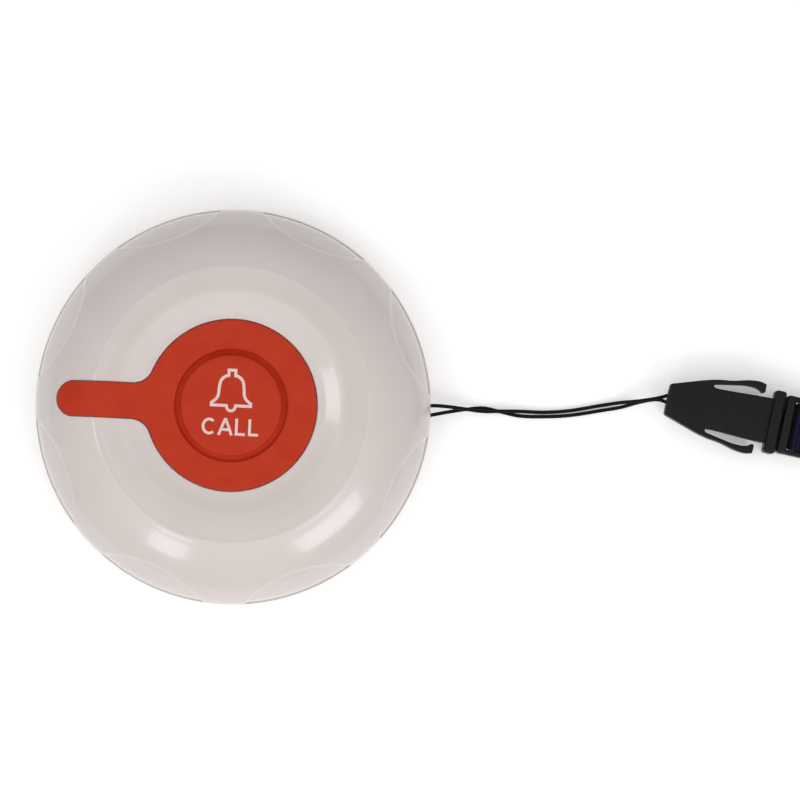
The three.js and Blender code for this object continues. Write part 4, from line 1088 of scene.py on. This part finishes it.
# Inner pieces. The board, its parts, the battery and its contacts, the plunger and the sealing
# ring are closed in, so they keep their plain solids, each with the finish of its own stuff. The
# solids behind the buckle and the cover screws, which stay out of sight, get theirs too.
INNER_FINISHES = {
    "black_rubber": surface_material("black_rubber", (0.02, 0.02, 0.02), (0.012, 0.012, 0.012),
                                     (0.7, 0.85), (0.0002, 0.00001), 0.003),
    "inner_plastic": surface_material("inner_plastic", (0.76, 0.74, 0.69), (0.72, 0.70, 0.65),
                                      (0.4, 0.55), (0.0003, 0.00001), 0.005),
    "board_green": surface_material("board_green", (0.02, 0.13, 0.05), (0.015, 0.10, 0.035),
                                    (0.3, 0.45), (0.0006, 0.00002), 0.004),
    "black_plastic": black_acetal,
    "steel": plated_steel,
    "brass": surface_material("brass_wire", (0.60, 0.38, 0.10), (0.50, 0.30, 0.07),
                              (0.25, 0.4), (0.0002, 0.00001), 0.002, Metallic=1.0),
    "battery_wrap": surface_material("battery_wrap", (0.03, 0.05, 0.17), (0.02, 0.04, 0.13),
                                     (0.25, 0.35), (0.0008, 0.00001), 0.006, Coat_Weight=0.5),
    "led_red": surface_material("led_red", (0.60, 0.03, 0.02), (0.52, 0.02, 0.015),
                                (0.08, 0.14), (0.0005, 0.000002), 0.002, Transmission_Weight=0.5),
    "ceramic": surface_material("ceramic", (0.05, 0.045, 0.04), (0.03, 0.028, 0.025),
                                (0.45, 0.6), (0.0002, 0.00001), 0.001),
}
for part in frame["record"]["subparts"]:
    if part["material_slot"] in INNER_FINISHES:
        node = frame["nodes"][part["node"]]
        node.data.materials.clear()
        node.data.materials.append(INNER_FINISHES[part["material_slot"]])


# Table top. A plain white surface. It looks white to the camera and in reflections, and keeps
# the object's soft shadow.
TABLE_HALF = 1.5
TABLE_THICKNESS = 0.01
TABLE_Z = -0.0002
TABLE_GLOW = 0.3

floor = solid_block("table_top", (-TABLE_HALF, -TABLE_HALF, TABLE_Z - TABLE_THICKNESS),
                    (TABLE_HALF, TABLE_HALF, TABLE_Z))
floor_paint = bpy.data.materials.new("table_white")
floor_paint.use_nodes = True
paint_tree = floor_paint.node_tree
paint = paint_tree.nodes["Principled BSDF"]
paint.inputs["Base Color"].default_value = (0.9, 0.9, 0.9, 1)
paint.inputs["Roughness"].default_value = 0.8
rays = paint_tree.nodes.new("ShaderNodeLightPath")
seen = math_node(paint_tree, "MAXIMUM", rays.outputs["Is Camera Ray"], rays.outputs["Is Glossy Ray"])
glow = math_node(paint_tree, "MULTIPLY", seen, TABLE_GLOW)
paint.inputs["Emission Color"].default_value = (1, 1, 1, 1)
paint_tree.links.new(glow, paint.inputs["Emission Strength"])
floor.data.materials.append(floor_paint)


# Light. White surroundings, brightest high up and on the near side, and three soft
# boxes: two below the picture, whose reflections lie on the lower flank, and one to the left, seen
# in the dish.
SOFT_BOX_DISTANCE = 1.2

world = bpy.data.worlds.new("surroundings")
bpy.context.scene.world = world
world.use_nodes = True
nodes, links = world.node_tree.nodes, world.node_tree.links
sky = nodes.new("ShaderNodeTexCoord")
axes = nodes.new("ShaderNodeSeparateXYZ")
links.new(sky.outputs["Generated"], axes.inputs["Vector"])
height = nodes.new("ShaderNodeValToRGB")
height.color_ramp.elements[0].color = (0.40, 0.39, 0.385, 1)
height.color_ramp.elements[1].color = (0.34, 0.335, 0.33, 1)
for place, level in ((0.5, 0.50), (0.80, 0.92), (0.95, 1.15), (0.975, 0.45)):
    height.color_ramp.elements.new(place).color = (level, level * 0.985, level * 0.97, 1)
links.new(axes.outputs["Z"], height.inputs["Fac"])
nearer = nodes.new("ShaderNodeMapRange")
nearer.inputs["From Min"].default_value = -1
nearer.inputs["To Min"].default_value = 1.28
nearer.inputs["To Max"].default_value = 0.74
links.new(axes.outputs["Y"], nearer.inputs["Value"])
links.new(height.outputs["Color"], nodes["Background"].inputs["Color"])
links.new(nearer.outputs["Result"], nodes["Background"].inputs["Strength"])


def soft_box(name, azimuth, elevation, width, height, power):
    """A rectangular lamp that faces the origin from this direction, in degrees."""
    data = bpy.data.lights.new(name, "AREA")
    data.shape = "RECTANGLE"
    data.size = width
    data.size_y = height
    data.energy = power
    lamp = bpy.data.objects.new(name, data)
    bpy.context.collection.objects.link(lamp)
    a, e = math.radians(azimuth), math.radians(elevation)
    direction = Vector((math.cos(e) * math.cos(a), math.cos(e) * math.sin(a), math.sin(e)))
    lamp.location = direction * SOFT_BOX_DISTANCE
    lamp.rotation_euler = direction.to_track_quat("Z", "Y").to_euler()


soft_box("soft_box_right", -48, 38, 0.52, 0.32, 2.0)
soft_box("soft_box_left", -115, 38, 0.26, 0.32, 1.0)
soft_box("soft_box_side", 185, 58, 0.30, 0.20, 0.7)
